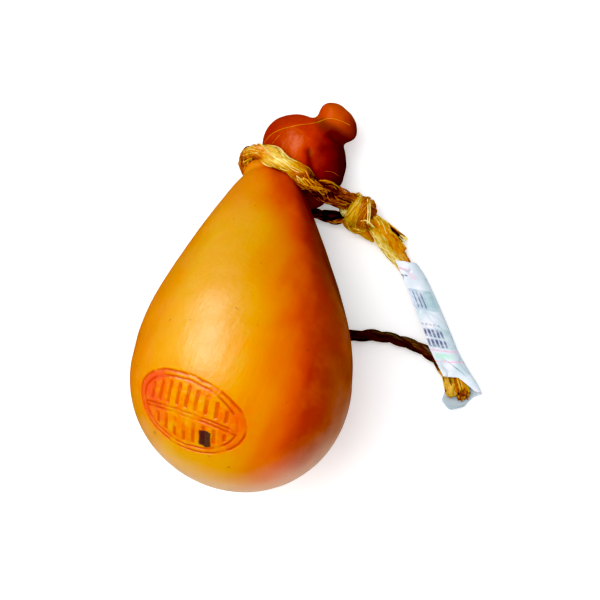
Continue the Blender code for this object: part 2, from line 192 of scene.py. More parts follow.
MOTTLE_COLOUR = (0.84, 0.20, 0.004, 1.0)
SPECK_COLOUR = (0.16, 0.02, 0.002, 1.0)
STAMP_FIELD = (0.70, 0.10, 0.004, 1.0)
STAMP_BLUSH = (0.70, 0.035, 0.018, 1.0)
STAMP_RED = (0.52, 0.026, 0.006, 1.0)
STAMP_INK = (0.010, 0.004, 0.030, 1.0)
# Dark red on the right flank towards the neck: partly smoked colour, partly painted shade.
SMOKE_AND_SHADE_COLOUR = (0.17, 0.001, 0.001, 1.0)
# Painted shade in the head's creases and the knob's joint.
CREASE_SHADE_COLOUR = (0.10, 0.002, 0.001, 1.0)
UNDERSIDE_SHEEN_COLOUR = (0.86, 0.60, 0.44, 1.0)  # painted reflection of the bright floor on the round end's underside
NECK_TINT = (1.0, 0.66, 0.4, 1.0)
PALE_WAY = (-0.05, -0.24, 0.97)  # away from the underside's palest place
PALE_DRIFT = ((4.0, 20.0, 43), (1.5, 7.0, 44))
SMOKE_AND_SHADE_DRIFT = ((6.0, 24.0, 41), (3.0, 9.0, 42))

# ---------------------------------------------------------------- the cords
TAIL_DIAMETER = 4.4
NOOSE_ROUTE = (
    (33.6, 95.2, 12.6), (27.0, 96.6, 18.6), (20.8, 97.0, 23.0), (14.7, 98.4, 26.8),
    (8.2, 100.8, 29.2), (1.2, 103.8, 29.6), (-6.0, 106.6, 26.8), (-11.2, 107.8, 21.8),
    (-13.1, 106.2, 15.6), (-11.4, 103.0, 8.8), (-5.4, 98.8, 4.3), (4.0, 94.0, 3.3),
    (14.6, 90.2, 3.3), (23.2, 88.2, 3.8), (32.4, 87.9, 5.6),
)
LABEL_CORD_ROUTE = (
    (47.4, 84.7, 6.0), (51.6, 80.6, 4.4), (55.4, 77.2, 3.5), (59.4, 73.6, 3.5), (63.2, 69.4, 3.7),
    (68.0, 63.0, 3.8), (73.5, 54.5, 3.8), (79.0, 45.1, 3.8), (84.4, 36.3, 3.8), (89.1, 29.2, 3.8),
    (93.4, 22.2, 3.8), (97.0, 14.6, 3.8),
)
RETURN_CORD_ROUTE = (
    (17.4, 84.6, 3.0), (18.8, 76.0, 3.0), (20.6, 67.6, 3.0), (23.0, 59.4, 3.0), (26.0, 51.2, 3.0),
    (30.0, 43.6, 3.0), (36.0, 37.4, 3.0), (43.6, 34.8, 3.0), (51.6, 36.0, 3.0), (58.6, 36.3, 3.0),
    (65.2, 35.2, 3.1), (72.0, 32.9, 3.3), (78.4, 29.2, 3.7), (83.4, 24.4, 3.8), (87.2, 18.8, 3.8),
    (90.0, 12.8, 3.8),
)
TAIL_ROUTE = (
    (47.2, 88.8, 7.4), (52.2, 86.4, 5.6), (57.2, 83.2, 3.8), (61.6, 80.0, 2.7),
)
KNOT_CENTRE = (41.1, 90.6, 8.2)
NOOSE_ENDS = ((39.0, 92.4, 9.4), (37.5, 88.6, 7.2))  # inside the knot
NOOSE_SAG = (2.6, 0.15, 0.12)  # how far, and its place and spread as shares of the noose
NOOSE_LAY = -31.0  # the length of one turn, which is less than 0 for a left-hand twist
NOOSE_PHASE = math.radians(203.0)
NOOSE_FIBRES = 60
LABEL_CORD_LAY = 90.0
LABEL_CORD_PHASE = math.radians(-60.0)
LABEL_CORD_FIBRES = 56
LABEL_CORD_CUT = (3.1, 0.42)  # the cut end's radius and tone
RETURN_CORD_LAY = 24.0
RETURN_CORD_FIBRES = 26
RETURN_CORD_CUT = (2.9, 1.05)

# Shares of the way along a cord, and what it has there.
NOOSE_WIDTHS = ((0.0, 0.1, 0.2, 0.5, 0.7, 1.0), (9.6, 11.4, 10.4, 8.4, 6.4, 6.0))
# The noose's tones are painted light and shade: brown on its right part near the knot, under the
# head's shade, a painted highlight over the top, darker as it goes down behind the neck, and
# nearly black as painted shadow on the back half under the neck.
NOOSE_TONES = (
    (0.0, 0.12, 0.185, 0.22, 0.265, 0.32, 0.37, 0.41, 0.6, 0.75, 1.0),
    (0.60, 0.36, 0.26, 0.34, 0.55, 0.92, 0.94, 0.60, 0.46, 0.25, 0.02),
)
LABEL_CORD_WIDTHS = ((0.0, 0.06, 0.16, 0.28, 1.0), (7.2, 8.6, 7.8, 6.2, 5.2))
# Near the knot the left ply's higher tones are painted light and the right ply's lower ones
# painted shade.
LABEL_CORD_LEFT_TONES = ((0.0, 0.08, 0.3, 0.85, 1.0), (0.70, 0.90, 0.92, 0.44, 0.36))
LABEL_CORD_RIGHT_TONES = ((0.0, 0.16, 0.3, 1.0), (0.66, 0.60, 0.50, 0.45))
RETURN_CORD_WIDTHS = ((0.0, 0.1, 1.0), (4.8, 5.4, 5.4))
RETURN_CORD_SHIFTS = ((0.70, 0.84, 0.92, 1.0), (0.0, 2.2, 1.8, 0.9))

LONG_HAIR = (
    (-9.6, 111.4), (-3.0, 118.6), (6.0, 121.5), (13.0, 123.8), (21.0, 127.4), (31.5, 125.6),
)
STRAY_HAIRS = (  # routes over the head from above, thickness and tone
    (LONG_HAIR, 0.11, 0.58),
    (((-4.0, 111.0), (-1.8, 114.4), (0.8, 117.6)), 0.09, 0.50),
    (((22.4, 103.4), (25.8, 103.8), (29.2, 103.2)), 0.09, 0.44),
)

# The knot's turns: place across the knot, half width and height, thickness, tilt in degrees,
# fibres and tone; and its lobes: route from the knot's centre, thickness, fibres and tone.
KNOT_BAND_TURN = math.radians(-8.0)
KNOT_CORE = (-6.0, 6.4)  # its ends across the knot
KNOT_CORE_POINTS = 14
KNOT_CORE_RADIUS = 4.6
KNOT_BAND_LAY = 90.0
KNOT_LOBE_LAY = 80.0
KNOT_BANDS = (
    (-3.4, (4.3, 3.6), 4.2, 4.0, 70, 0.80),
    (0.4, (4.7, 3.9), 3.3, -10.0, 56, 0.50),
    (3.2, (5.2, 4.2), 1.9, -14.0, 36, 0.50),
)
LOWEST_LOBE = ((-5.8, -1.8, -1.2), (-5.0, -4.9, -1.4), (-1.4, -6.2, -2.4), (2.6, -5.6, -2.6))
KNOT_LOBES = (
    (LOWEST_LOBE, 3.3, 50, 0.62),
    (((-1.0, -6.4, -3.2), (2.6, -8.2, -4.0), (7.4, -10.4, -4.4)), 2.4, 40, 0.55),
    # This lobe's high tone is a painted highlight between the noose and the lowest lobe.
    (((-9.2, 0.4, -0.6), (-7.3, -1.5, 1.8), (-4.2, -3.0, 3.4)), 2.0, 30, 1.25),
    (((-9.4, 4.6, 0.4), (-6.6, 3.0, 3.0), (-2.8, 0.2, 4.4)), 2.8, 44, 0.66),
)
KNOT_HAIRS = (  # routes from the knot's centre, thickness and tone
    (((1.6, 5.6, 4.2), (2.6, -0.8, 6.2), (3.0, -6.4, 3.6)), 0.34, 0.95),
    (((2.6, 5.4, 4.0), (3.6, -1.2, 6.0), (3.8, -6.6, 3.4)), 0.28, 0.90),
    (((-0.6, -5.4, 4.2), (2.6, -5.0, 4.6), (6.4, -7.2, 2.6)), 0.30, 0.95),
    (((-7.8, 8.8, 2.6), (-6.8, 5.2, 4.8), (-5.8, 1.6, 6.4)), 0.24, 0.90),
)
TAIL_FANS = (  # bundles between the short end and the strand: route, thickness, fibres and tone
    (((44.6, 88.2, 7.6), (50.4, 84.2, 6.2), (56.6, 79.4, 4.6), (61.2, 75.4, 3.4)), 2.9, 50, 0.62),
    (((45.6, 89.0, 8.4), (50.8, 86.0, 6.6), (55.4, 82.2, 4.8), (59.6, 78.2, 3.4)), 2.2, 40, 0.72),
)
TAIL_FAN_LAY = 120.0
LABEL_CORD_SHIFT = (-1.4, -1.0, 0.5)  # how the ends lie closer together than their middle lines
RETURN_CORD_WAY = (0.87, 0.5, -0.2)
HAIR_DROP = 90.0  # the height from which stray hairs fall on the head
STRAW_ABOVE_TABLE = 0.1
FIBRE_SIZE = 0.27
FIBRE_WAVE = 15.0  # how far along a fibre its wobbles repeat
PLY_OFFSET = 0.22  # as shares of the cord's thickness
PLY_RADIUS = 0.28
PLY_LAY = 1.7  # how much longer than the cord's own turn its plies' turns are
CORE_FIBRES = 16  # inside the noose and the knot
CORE_LAY = 60.0
CORD_STEP = 1.0
FINE_STEP = 0.8
CUT_FIBRES = 70
CUT_FIBRE_SIZE = 0.38
CUT_FIBRE_LENGTH = 9.0
TAIL_FIBRES = 44
TAIL_EDGE_HAIRS = (2.0, 1.75, 1.5, 1.1, 0.3, -1.2)  # where each lies beside the middle line

STRAW_TONES = (
    (0.0, (0.010, 0.002, 0.001)), (0.15, (0.10, 0.012, 0.001)), (0.34, (0.34, 0.060, 0.002)),
    (0.47, (0.60, 0.18, 0.005)), (0.60, (0.64, 0.31, 0.018)), (0.78, (0.69, 0.47, 0.055)),
    (1.0, (0.90, 0.76, 0.30)),
)
# The return strand's tones: dark as painted shade from the cheese, golden at the top for its
# painted lit end.
DARK_STRAW_TONES = (
    (0.0, (0.010, 0.0015, 0.0005)), (0.45, (0.064, 0.010, 0.002)), (0.70, (0.15, 0.032, 0.003)),
    (1.0, (0.72, 0.43, 0.06)),
)

# ---------------------------------------------------------------- the label
PAPER_TONES = ((0.3, (0.58, 0.72, 0.80)), (0.5, (0.70, 0.78, 0.89)), (0.7, (0.84, 0.86, 0.95)))
# The paper's painted shade.
PAPER_SHADE = (0.34, 0.50, 0.58, 1.0)
PRINT_BLUE = (0.36, 0.50, 0.68, 1.0)
PRINT_GREEN = (0.28, 0.48, 0.55, 1.0)
PRINT_PINK = (0.86, 0.42, 0.60, 1.0)
PRINT_NAVY = (0.05, 0.05, 0.22, 1.0)
PRINT_MINT = (0.42, 0.80, 0.66, 1.0)
LABEL_MIDDLE = (
    (63.1, 70.8), (68.4, 63.1), (73.8, 53.5), (79.2, 43.1), (84.5, 33.0), (90.7, 23.4),
    (95.6, 16.4), (98.4, 10.6),
)
LABEL_HALF_WIDTHS = ((0.0, 0.12, 0.3, 0.55, 0.7, 0.85, 1.0), (4.1, 5.0, 5.5, 5.9, 5.7, 6.0, 6.9))
LABEL_HALF_HEIGHT = 3.45
LABEL_LIFT = 3.8
LABEL_RINGS = 150
LABEL_SIDES = 72

# A place round the label's fold is a share of the way from the upper sheet's left edge (0) round
# the right side (0.5) to the lower sheet's left edge (1).  Starts and ends give such places, and
# how far down the label its paper starts or ends there.
LABEL_SLEEVE = 0.36  # the share that is one sheet's flat
LABEL_STARTS = ((0.0, 0.28, 0.5, 1.0), (-0.035, 0.0, 0.055, 0.02))
LABEL_ENDS = (
    (0.0, 0.24, 0.27, 0.30, 0.33, 0.36, 0.39, 0.5, 0.64, 0.78, 0.86, 0.92, 0.96, 1.0),
    (0.775, 0.822, 0.842, 0.876, 0.905, 0.93, 0.95, 0.958, 0.958, 0.985, 1.02, 1.02, 0.985, 0.925),
)
LABEL_CURL_FROM = 0.965  # the place down where the lower sheet turns up
LABEL_CURL_RADIUS = 2.8
LABEL_CURL_FOLDS = (0.68, 0.76)
LABEL_INNER_FOLDS = (0.80, 1.0)  # the lower sheet's inner half
LABEL_TUCK = 2.0  # how far that half lies inwards
LABEL_TUCK_PLACES = (0.72, 0.86)  # where down this ends
LABEL_CUP = (4.6, 3.8)  # how far the lower sheet's inner corner reaches out and up
LABEL_CUP_PLACES = (0.81, 0.91)
LABEL_PAPER = 0.25
LABEL_SKEW = 0.185  # how far the print runs down the label on its way across
RUFFLE_WAY = (0.83, -0.55)


# ================================================================ small helpers
def place(points):
    """Points in mm from under the belly, as metres in the frame."""
    return (np.asarray(points, float) + PLACE_SHIFT) * MM


def unit(vectors):
    vectors = np.asarray(vectors, float)
    return vectors / np.maximum(np.linalg.norm(vectors, axis=-1, keepdims=True), 1e-12)


def share_between(low, high, value):
    return (value - low) / (high - low)


def smoothstep(low, high, value):
    share = np.clip(share_between(low, high, value), 0.0, 1.0)
    return share * share * (3.0 - 2.0 * share)


def length_along(line):
    return np.concatenate([[0.0], np.cumsum(np.linalg.norm(np.diff(line, axis=0), axis=1))])


def curve_points(route, step):
    """Points about a step apart on the smooth curve through the route's own points."""
    route = np.asarray(route, float)
    ends = np.vstack([2 * route[0] - route[1], route, 2 * route[-1] - route[-2]])
    t = np.linspace(0.0, 1.0, 40, endpoint=False)[:, None]
    fine = []
    for before, start, stop, after in zip(ends, ends[1:], ends[2:], ends[3:]):
        fine.append(
            0.5
            * (
                2 * start
                + (stop - before) * t
                + (2 * before - 5 * start + 4 * stop - after) * t**2
                + (3 * start - before - 3 * stop + after) * t**3
            )
        )
    fine = np.vstack(fine + [route[-1:]])
    along = length_along(fine)
    places = np.linspace(0.0, along[-1], max(3, int(round(along[-1] / step)) + 1))
    return np.stack([np.interp(places, along, values) for values in fine.T], axis=1)


def path_length(points):
    return float(np.linalg.norm(np.diff(points, axis=0), axis=1).sum())


def value_noise(points, size, seed):
    """Smooth noise from -1 to 1 with lumps of about this size, for an array of points."""
    grid = np.asarray(points, float) / size + 1000.0
    cell = np.floor(grid).astype(np.int64)
    share = grid - cell
    share = share * share * (3.0 - 2.0 * share)
    total = np.zeros(len(grid))
    for corner in range(8):
        step = np.array((corner & 1, corner >> 1 & 1, corner >> 2 & 1))
        key = cell + step
        mixed = key[:, 0] * 73856093 ^ key[:, 1] * 19349663 ^ key[:, 2] * 83492791
        mixed = (mixed ^ seed * 2654435761) & 0xFFFFFFFF
        mixed = (mixed ^ mixed >> 15) * 2246822519 & 0xFFFFFFFF
        mixed = (mixed ^ mixed >> 13) * 3266489917 & 0xFFFFFFFF
        mixed = mixed ^ mixed >> 16
        weight = np.prod(np.where(step == 1, share, 1.0 - share), axis=1)
        total += weight * (mixed / 0xFFFFFFFF * 2.0 - 1.0)
    return total


def lumps(points, table):
    """The sum of several noises, each given by its height, size and seed."""
    return sum(height * value_noise(points, size, seed) for height, size, seed in table)


def shares(line):
    """How far along each of a line's points is, from 0 to 1."""
    return np.linspace(0.0, 1.0, len(line))


def turn_matrix(angle):
    """Turns a point round the vertical."""
    cos, sin = math.cos(angle), math.sin(angle)
    return np.array(((cos, -sin, 0.0), (sin, cos, 0.0), (0.0, 0.0, 1.0)))


def renumbered(faces, count):
    """Faces whose points come after this many others."""
    return [tuple(i + count for i in face) for face in faces]


def new_object(name, verts, faces, smooth=True):
    """A mesh object from arrays of points in metres and lists of faces."""
    mesh = bpy.data.meshes.new(name)
    mesh.from_pydata([tuple(v) for v in verts], [], [tuple(int(i) for i in f) for f in faces])
    mesh.validate()
    mesh.update()
    if smooth:
        mesh.shade_smooth()
    obj = bpy.data.objects.new(name, mesh)
    bpy.context.scene.collection.objects.link(obj)
    return obj


def set_values(obj, name, values):
    """A number for each vertex, which the material reads by this name."""
    made = obj.data.attributes.new(name, "FLOAT", "POINT")
    made.data.foreach_set("value", np.asarray(values, np.float32))


def read_array(items, name):
    flat = np.zeros(len(items) * 3)
    items.foreach_get(name, flat)
    return flat.reshape(-1, 3)


def vertex_array(mesh):
    return read_array(mesh.vertices, "co")


def set_points(mesh, points):
    mesh.vertices.foreach_set("co", (points * MM).ravel())
    mesh.update()


def apply_modifiers(obj):
    bpy.context.view_layer.update()
    shown = obj.evaluated_get(bpy.context.evaluated_depsgraph_get())
    result = bpy.data.meshes.new_from_object(shown)
    obj.modifiers.clear()
    obj.data = result


def dress(obj, material, slot, *replaced):
    obj.data.materials.clear()
    obj.data.materials.append(material)
    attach(obj, "root")
    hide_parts(*replaced)


# ================================================================ node helpers
class Nodes:
    """A short way to build a material's node tree."""

    def __init__(self, name):
        self.material = bpy.data.materials.new(name)
        self.material.use_nodes = True
        self.tree = self.material.node_tree
        self.shader = self.tree.nodes["Principled BSDF"]

    def add(self, kind, sockets=(), **settings):
        """A node with these settings, and with a value or a link for each of these inputs."""
        node = self.tree.nodes.new(kind)
        for name, value in settings.items():
            setattr(node, name, value)
        for name, value in dict(sockets).items():
            self.feed(node.inputs[name], value)
        return node

    def feed(self, socket, value):
        if isinstance(value, bpy.types.NodeSocket):
            self.tree.links.new(value, socket)
        else:
            socket.default_value = value

    def math(self, operation, *values):
        return self.add("ShaderNodeMath", enumerate(values), operation=operation).outputs[0]

    def times(self, first, second):
        return self.math("MULTIPLY", first, second)

    def plus(self, first, second):
        return self.math("ADD", first, second)

    def around_zero(self, value, spread):
        """A value from 0 to 1 as one from minus to plus half the spread."""
        return self.math("MULTIPLY_ADD", value, spread, -spread / 2)

    def mix(self, share, first, second, blend="MIX"):
        sockets = {"Factor": share, "A": first, "B": second}
        node = self.add("ShaderNodeMix", sockets, data_type="RGBA", blend_type=blend)
        return node.outputs["Result"]

    def attribute(self, name):
        return self.add("ShaderNodeAttribute", attribute_name=name).outputs["Fac"]

    def noise(self, scale, detail=2.0, rough=0.5, stretch=(1.0, 1.0, 1.0), slant=0.0):
        """Noise whose lumps are drawn out by a small stretch, turned by the slant from above."""
        where = self.add("ShaderNodeTexCoord").outputs["Object"]
        longer = [1.0 / share for share in stretch]
        sockets = {"Vector": where, "Rotation": (0.0, 0.0, slant), "Scale": longer}
        turned = self.add("ShaderNodeMapping", sockets, vector_type="TEXTURE").outputs[0]
        sockets = {"Vector": turned, "Scale": scale, "Detail": detail, "Roughness": rough}
        return self.add("ShaderNodeTexNoise", sockets).outputs["Fac"]

    def ramp(self, value, stops):
        node = self.add("ShaderNodeValToRGB", {"Fac": value})
        while len(node.color_ramp.elements) < len(stops):
            node.color_ramp.elements.new(0.5)
        for element, (spot, colour) in zip(node.color_ramp.elements, stops):
            element.position = spot
            element.color = (*colour, 1.0)
        return node.outputs["Color"]

    def levels(self, value, low, high, to_low=0.0, to_high=1.0):
        """A smooth step from one level to another between two values."""
        names = ("Value", "From Min", "From Max", "To Min", "To Max")
        sockets = zip(names, (value, low, high, to_low, to_high))
        node = self.add("ShaderNodeMapRange", sockets, interpolation_type="SMOOTHSTEP")
        return node.outputs["Result"]

    def bump(self, height, strength, distance):
        sockets = {"Height": height, "Strength": strength, "Distance": distance}
        self.set("Normal", self.add("ShaderNodeBump", sockets).outputs["Normal"])

    def set(self, name, value):
        self.feed(self.shader.inputs[name], value)

    def surface(self, colour, roughness, specular):
        self.set("Base Color", colour)
        self.set("Roughness", roughness)
        self.set("Specular IOR Level", specular)


# ================================================================ camera, floor, light
def add_aimed(data, where, side, up, back):
    """An object for this camera or light at a place in metres, with its back this way."""
    obj = bpy.data.objects.new(data.name, data)
    bpy.context.scene.collection.objects.link(obj)
    turned = Matrix((side, up, back)).transposed().to_4x4()
    obj.matrix_world = Matrix.Translation(Vector(where)) @ turned
    return obj


def add_camera():
    turn, rise = CAMERA_TURN, CAMERA_RISE
    back = Vector(
        (math.sin(turn) * math.cos(rise), -math.cos(turn) * math.cos(rise), math.sin(rise))
    )
    right = Vector((math.cos(turn), math.sin(turn), 0.0))
    data = bpy.data.cameras.new("camera")
    data.sensor_width = CAMERA_SENSOR
    data.lens = CAMERA_LENS
    data.clip_start, data.clip_end = CAMERA_REACH
    camera = add_aimed(data, place(CAMERA_PLACE), right, back.cross(right), back)
    bpy.context.scene.camera = camera


def add_floor():
    half = FLOOR_SIZE / 2
    corners = [(-half, -half), (half, -half), (half, half), (-half, half)]
    floor = new_object("floor", [(x, y, -FLOOR_DROP) for x, y in corners], [(0, 1, 2, 3)], False)
    nodes = Nodes("floor_white")
    tint = nodes.ramp(nodes.noise(3.0), FLOOR_TONES)
    nodes.surface(tint, 0.8, 0.2)
    nodes.set("Emission Color", tint)
    nodes.set("Emission Strength", FLOOR_GLOW)
    floor.data.materials.append(nodes.material)
    floor.visible_glossy = False


def add_area_light(name, where, size, way, power, glossy, diffuse):
    """A soft light aimed at the frame's origin, whose long side lies this way."""
    data = bpy.data.lights.new(name, "AREA")
    data.shape = "RECTANGLE"
    data.size, data.size_y = size
    data.energy = power
    data.color = LIGHT_COLOUR
    back = Vector(where).normalized()
    side = Vector(way).cross(back).normalized()
    light = add_aimed(data, where, side, back.cross(side), back)
    light.visible_glossy = glossy
    light.visible_diffuse = diffuse


def add_light():
    world = bpy.data.worlds.new("studio")
    world.use_nodes = True
    shade = world.node_tree.nodes["Background"]
    shade.inputs["Color"].default_value = (*LIGHT_COLOUR, 1.0)
    shade.inputs["Strength"].default_value = WORLD_STRENGTH
    world.cycles_visibility.glossy = False
    bpy.context.scene.world = world
    window = (WINDOW_PLACE, WINDOW_SIZE, WINDOW_WAY, WINDOW_POWER)
    overhead = (OVERHEAD_PLACE, OVERHEAD_SIZE, (0.0, 1.0, 0.0), OVERHEAD_POWER)
    add_area_light("window", *window, glossy=True, diffuse=False)
    add_area_light("overhead", *overhead, glossy=False, diffuse=True)


# ================================================================ the cheese
def body_radius(along):
    """The shoulder's radius at each distance along the axis."""
    return np.interp(along, *curve_points(SHOULDER_OUTLINE, OUTLINE_STEP).T)


def grid_skin(rings, sides):
    """Faces of a closed skin: a first point, rings of points, and a last point."""
    faces = []
    last_ring = 1 + (rings - 1) * sides
    last = rings * sides + 1
    for step in range(sides):
        after = (step + 1) % sides
        faces.append((0, 1 + step, 1 + after))
        faces.append((last_ring + step, last, last_ring + after))
    for ring in range(rings - 1):
        low = 1 + ring * sides
        for step in range(sides):
            after = (step + 1) % sides
            faces.append((low + step, low + sides + step, low + sides + after, low + after))
    return faces


def circle(centre, radius, side, up, sides, way_round):
    """Points round a centre, from beside it on, where the way round is 1 or -1."""
    points = []
    for step in range(sides):
        turn = way_round * 2 * math.pi * step / sides
        points.append(centre + radius * (math.cos(turn) * side + math.sin(turn) * up))
    return points


def body_shell():
    """The pear-shaped body as points and faces."""
    profile = []
    for ring in range(1, ROUND_END_RINGS + 1):
        angle = math.pi / 2 * ring / ROUND_END_RINGS
        profile.append((-BELLY_RADIUS * math.cos(angle), BELLY_RADIUS * math.sin(angle)))
    neck_end = SHOULDER_OUTLINE[-1][0]
    for along in np.arange(BODY_RING_STEP, neck_end + BODY_RING_STEP / 2, BODY_RING_STEP):
        profile.append((along, float(body_radius(along))))
    side = np.array((1.0, 0.0, 0.0))
    up = np.array((0.0, math.sin(AXIS_DROP), math.cos(AXIS_DROP)))

    def centre(along):
        lean = ROUND_END_LEAN * (min(along, 0.0) / BELLY_RADIUS) ** 2
        return BELLY_CENTRE + np.array((lean, 0.0, 0.0)) + BODY_WAY * along

    points = [centre(-BELLY_RADIUS)]
    for along, radius in profile:
        points += circle(centre(along), radius, side, up, BODY_SIDES, 1)
    points.append(centre(profile[-1][0] + BODY_RING_STEP))
    return np.array(points), grid_skin(len(profile), BODY_SIDES)


def ball_shell(centre, radii, turn=0.0, lean=(0.0, 0.0)):
    """A ball of three radii, turned round the vertical, or leaning by so much for each mm up."""
    points = [(0.0, 0.0, -1.0)]
    for ring in range(1, BALL_RINGS):
        lift = -math.cos(math.pi * ring / BALL_RINGS)
        width = math.sin(math.pi * ring / BALL_RINGS)
        for step in range(BALL_SIDES):
            angle = -2 * math.pi * step / BALL_SIDES
            points.append((width * math.cos(angle), width * math.sin(angle), lift))
    points.append((0.0, 0.0, 1.0))
    points = np.array(points) * np.array(radii)
    points[:, :2] += points[:, 2:] * np.array(lean)
    points = points @ turn_matrix(turn).T + np.array(centre) + PLACE_SHIFT
    return points, grid_skin(BALL_RINGS - 1, BALL_SIDES)


def bar_shell(start, stop, radius):
    """A round bar from one place to another."""
    start = np.array(start) + PLACE_SHIFT
    stop = np.array(stop) + PLACE_SHIFT
    way = unit(stop - start)
    side = unit(np.cross(way, (0.0, 0.0, 1.0)))
    up = np.cross(side, way)
    points = [start]
    places = (0.0, 0.25, 0.5, 0.75, 1.0)
    for share in places:
        points += circle(start + (stop - start) * share, radius, side, up, BAR_SIDES, -1)
    points.append(stop)
    return np.array(points), grid_skin(len(places), BAR_SIDES)


def joined_shells(shells):
    points = []
    faces = []
    count = 0
    for shell_points, shell_faces in shells:
        points.append(shell_points)
        faces += renumbered(shell_faces, count)
        count += len(shell_points)
    return np.vstack(points), faces


def relax(mesh, points, weight, rounds):
    """Moves each vertex towards the middle of its neighbours, by its own weight."""
    edges = np.zeros(len(mesh.edges) * 2, np.int64)
    mesh.edges.foreach_get("vertices", edges)
    edges = edges.reshape(-1, 2)
    count = np.bincount(edges.ravel(), minlength=len(points))[:, None]
    for _ in range(rounds):
        total = np.zeros_like(points)
        np.add.at(total, edges[:, 0], points[edges[:, 1]])
        np.add.at(total, edges[:, 1], points[edges[:, 0]])
        points = points + weight[:, None] * (total / count - points)
    return points


def stamp_coordinates(points):
    """Distance along and across the stamp for points near the round end."""
    centre = unit(STAMP_CENTRE)
    along = np.array(STAMP_ALONG)
    side = unit(along - along.dot(centre) * centre)
    up = np.cross(centre, side)
    away = points - BELLY_CENTRE
    away[:, 0] -= ROUND_END_LEAN * np.clip(-unit(away)[:, 1], 0.0, None) ** 2
    way = unit(away)
    bend = np.arccos(np.clip(way @ centre, -1.0, 1.0))
    across, rise = way @ side, way @ up
    size = np.maximum(np.hypot(across, rise), 1e-9)
    return BELLY_RADIUS * bend * across / size, BELLY_RADIUS * bend * rise / size


def stamp_share(across, rise):
    """How far out in the stamp's oval a place is, from 0 in its middle to 1 on its edge."""
    return np.hypot(across / STAMP_HALF[0], rise / STAMP_HALF[1])


def soft_line(width, away):
    """1 on a line of this width, falling to 0 beside it."""
    return 1.0 - smoothstep(width * 0.45, width * 1.15, away)


def ring_line(across, rise, share):
    """The oval ring of this share of the stamp's size."""
    size = stamp_share(across, rise)
    slope = np.hypot(across / STAMP_HALF[0] ** 2, rise / STAMP_HALF[1] ** 2)
    slope = slope / np.maximum(size, 1e-6)
    return soft_line(STAMP_LINE, np.abs(size - share) / np.maximum(slope, 1e-6))


def bar_line(across, rise, centre, half):
    """A bar with round ends that is upright in the stamp."""
    lift = np.clip(rise, centre[1] - half, centre[1] + half)
    return soft_line(STAMP_BAR_WIDTH, np.hypot(across - centre[0], rise - lift))


def stamp_lines(across, rise):
    """How much of the pressed pattern there is at a place: rings, a band and upright bars."""
    places = np.stack([across, rise, np.zeros_like(across)], axis=1)
    across = across + lumps(places, STAMP_WAVES[0])
    rise = rise + lumps(places, STAMP_WAVES[1])
    line = np.maximum(ring_line(across, rise, 1.0), ring_line(across, rise, STAMP_INNER))
    inside = stamp_share(across, rise) < STAMP_INNER
    crown, top, bend = STAMP_BAND
    from_band = rise - top + bend * (across - crown) ** 2
    band = 1.0 - smoothstep(0.25, 0.85, np.abs(np.abs(from_band) - STAMP_BAND_HALF))
    line = np.maximum(line, band * inside)
    for number in range(STAMP_BARS):
        spot = (number - (STAMP_BARS - 1) / 2) * STAMP_BAR_STEP
        share = spot / STAMP_HALF[0] / STAMP_INNER
        room = STAMP_INNER * STAMP_HALF[1] * math.sqrt(1.0 - share**2) - STAMP_BAR_FROM_RING
        middle = top - bend * (spot - crown) ** 2
        for sign in (-1.0, 1.0):
            half = (room - STAMP_BAR_FROM_BAND - sign * middle) / 2
            if half > STAMP_SHORTEST_BAR:
                centre = (spot, middle + sign * (STAMP_BAR_FROM_BAND + half))
                bar = bar_line(across, rise, centre, half - STAMP_BAR_END)
                line = np.maximum(line, STAMP_BAR_SHARE * bar)
    worn = smoothstep(-0.75, 0.15, lumps(places, STAMP_WEAR))
    return line * (0.25 + 0.75 * worn)


def make_cheese():
    shells = [body_shell(), bar_shell(NECK_FROM, NECK_TO, NECK_RADIUS)]
    shells.append(ball_shell(*HEAD_LOBES[0], lean=HEAD_LEAN))
    for centre, radii in (*HEAD_LOBES[1:], HEAD_SWELLING, *NECK_SWELLINGS):
        shells.append(ball_shell(centre, radii))
    way = turn_matrix(KNOB_TURN)[:, 0]
    shells.append(bar_shell(STUB_FROM, np.array(KNOB_CENTRE) - way, STUB_RADIUS))
    shells.append(ball_shell(KNOB_CENTRE, KNOB_RADII, KNOB_TURN))
    points, faces = joined_shells(shells)
    obj = new_object("cheese_body", points * MM, faces)
    change = obj.modifiers.new("remesh", "REMESH")
    change.mode = "VOXEL"
    change.voxel_size = CHEESE_VOXEL * MM
    apply_modifiers(obj)
    refine_stamp(obj)
    mesh = obj.data
    points = vertex_array(mesh) / MM
    along = (points - BELLY_CENTRE) @ BODY_WAY
    head = smoothstep(*HEAD_FROM, along)
    points = relax(mesh, points, 0.5 * head, HEAD_SMOOTHING)
    set_points(mesh, onto_body(points, 1.0 - head))
    press_details(obj)
    mesh.shade_smooth()
    return obj


def refine_stamp(obj):
    """Finer faces where the stamp is pressed in."""
    shape = bmesh.new()
    shape.from_mesh(obj.data)
    centres = np.array([face.calc_center_median() for face in shape.faces]) / MM
    across, rise = stamp_coordinates(centres)
    near = stamp_share(across, rise) < STAMP_CUTS_REACH
    shape.faces.ensure_lookup_table()
    edges = set()
    for number in np.nonzero(near)[0]:
        edges.update(shape.faces[int(number)].edges)
    bmesh.ops.subdivide_edges(shape, edges=list(edges), cuts=STAMP_CUTS, use_grid_fill=True)
    shape.to_mesh(obj.data)
    shape.free()


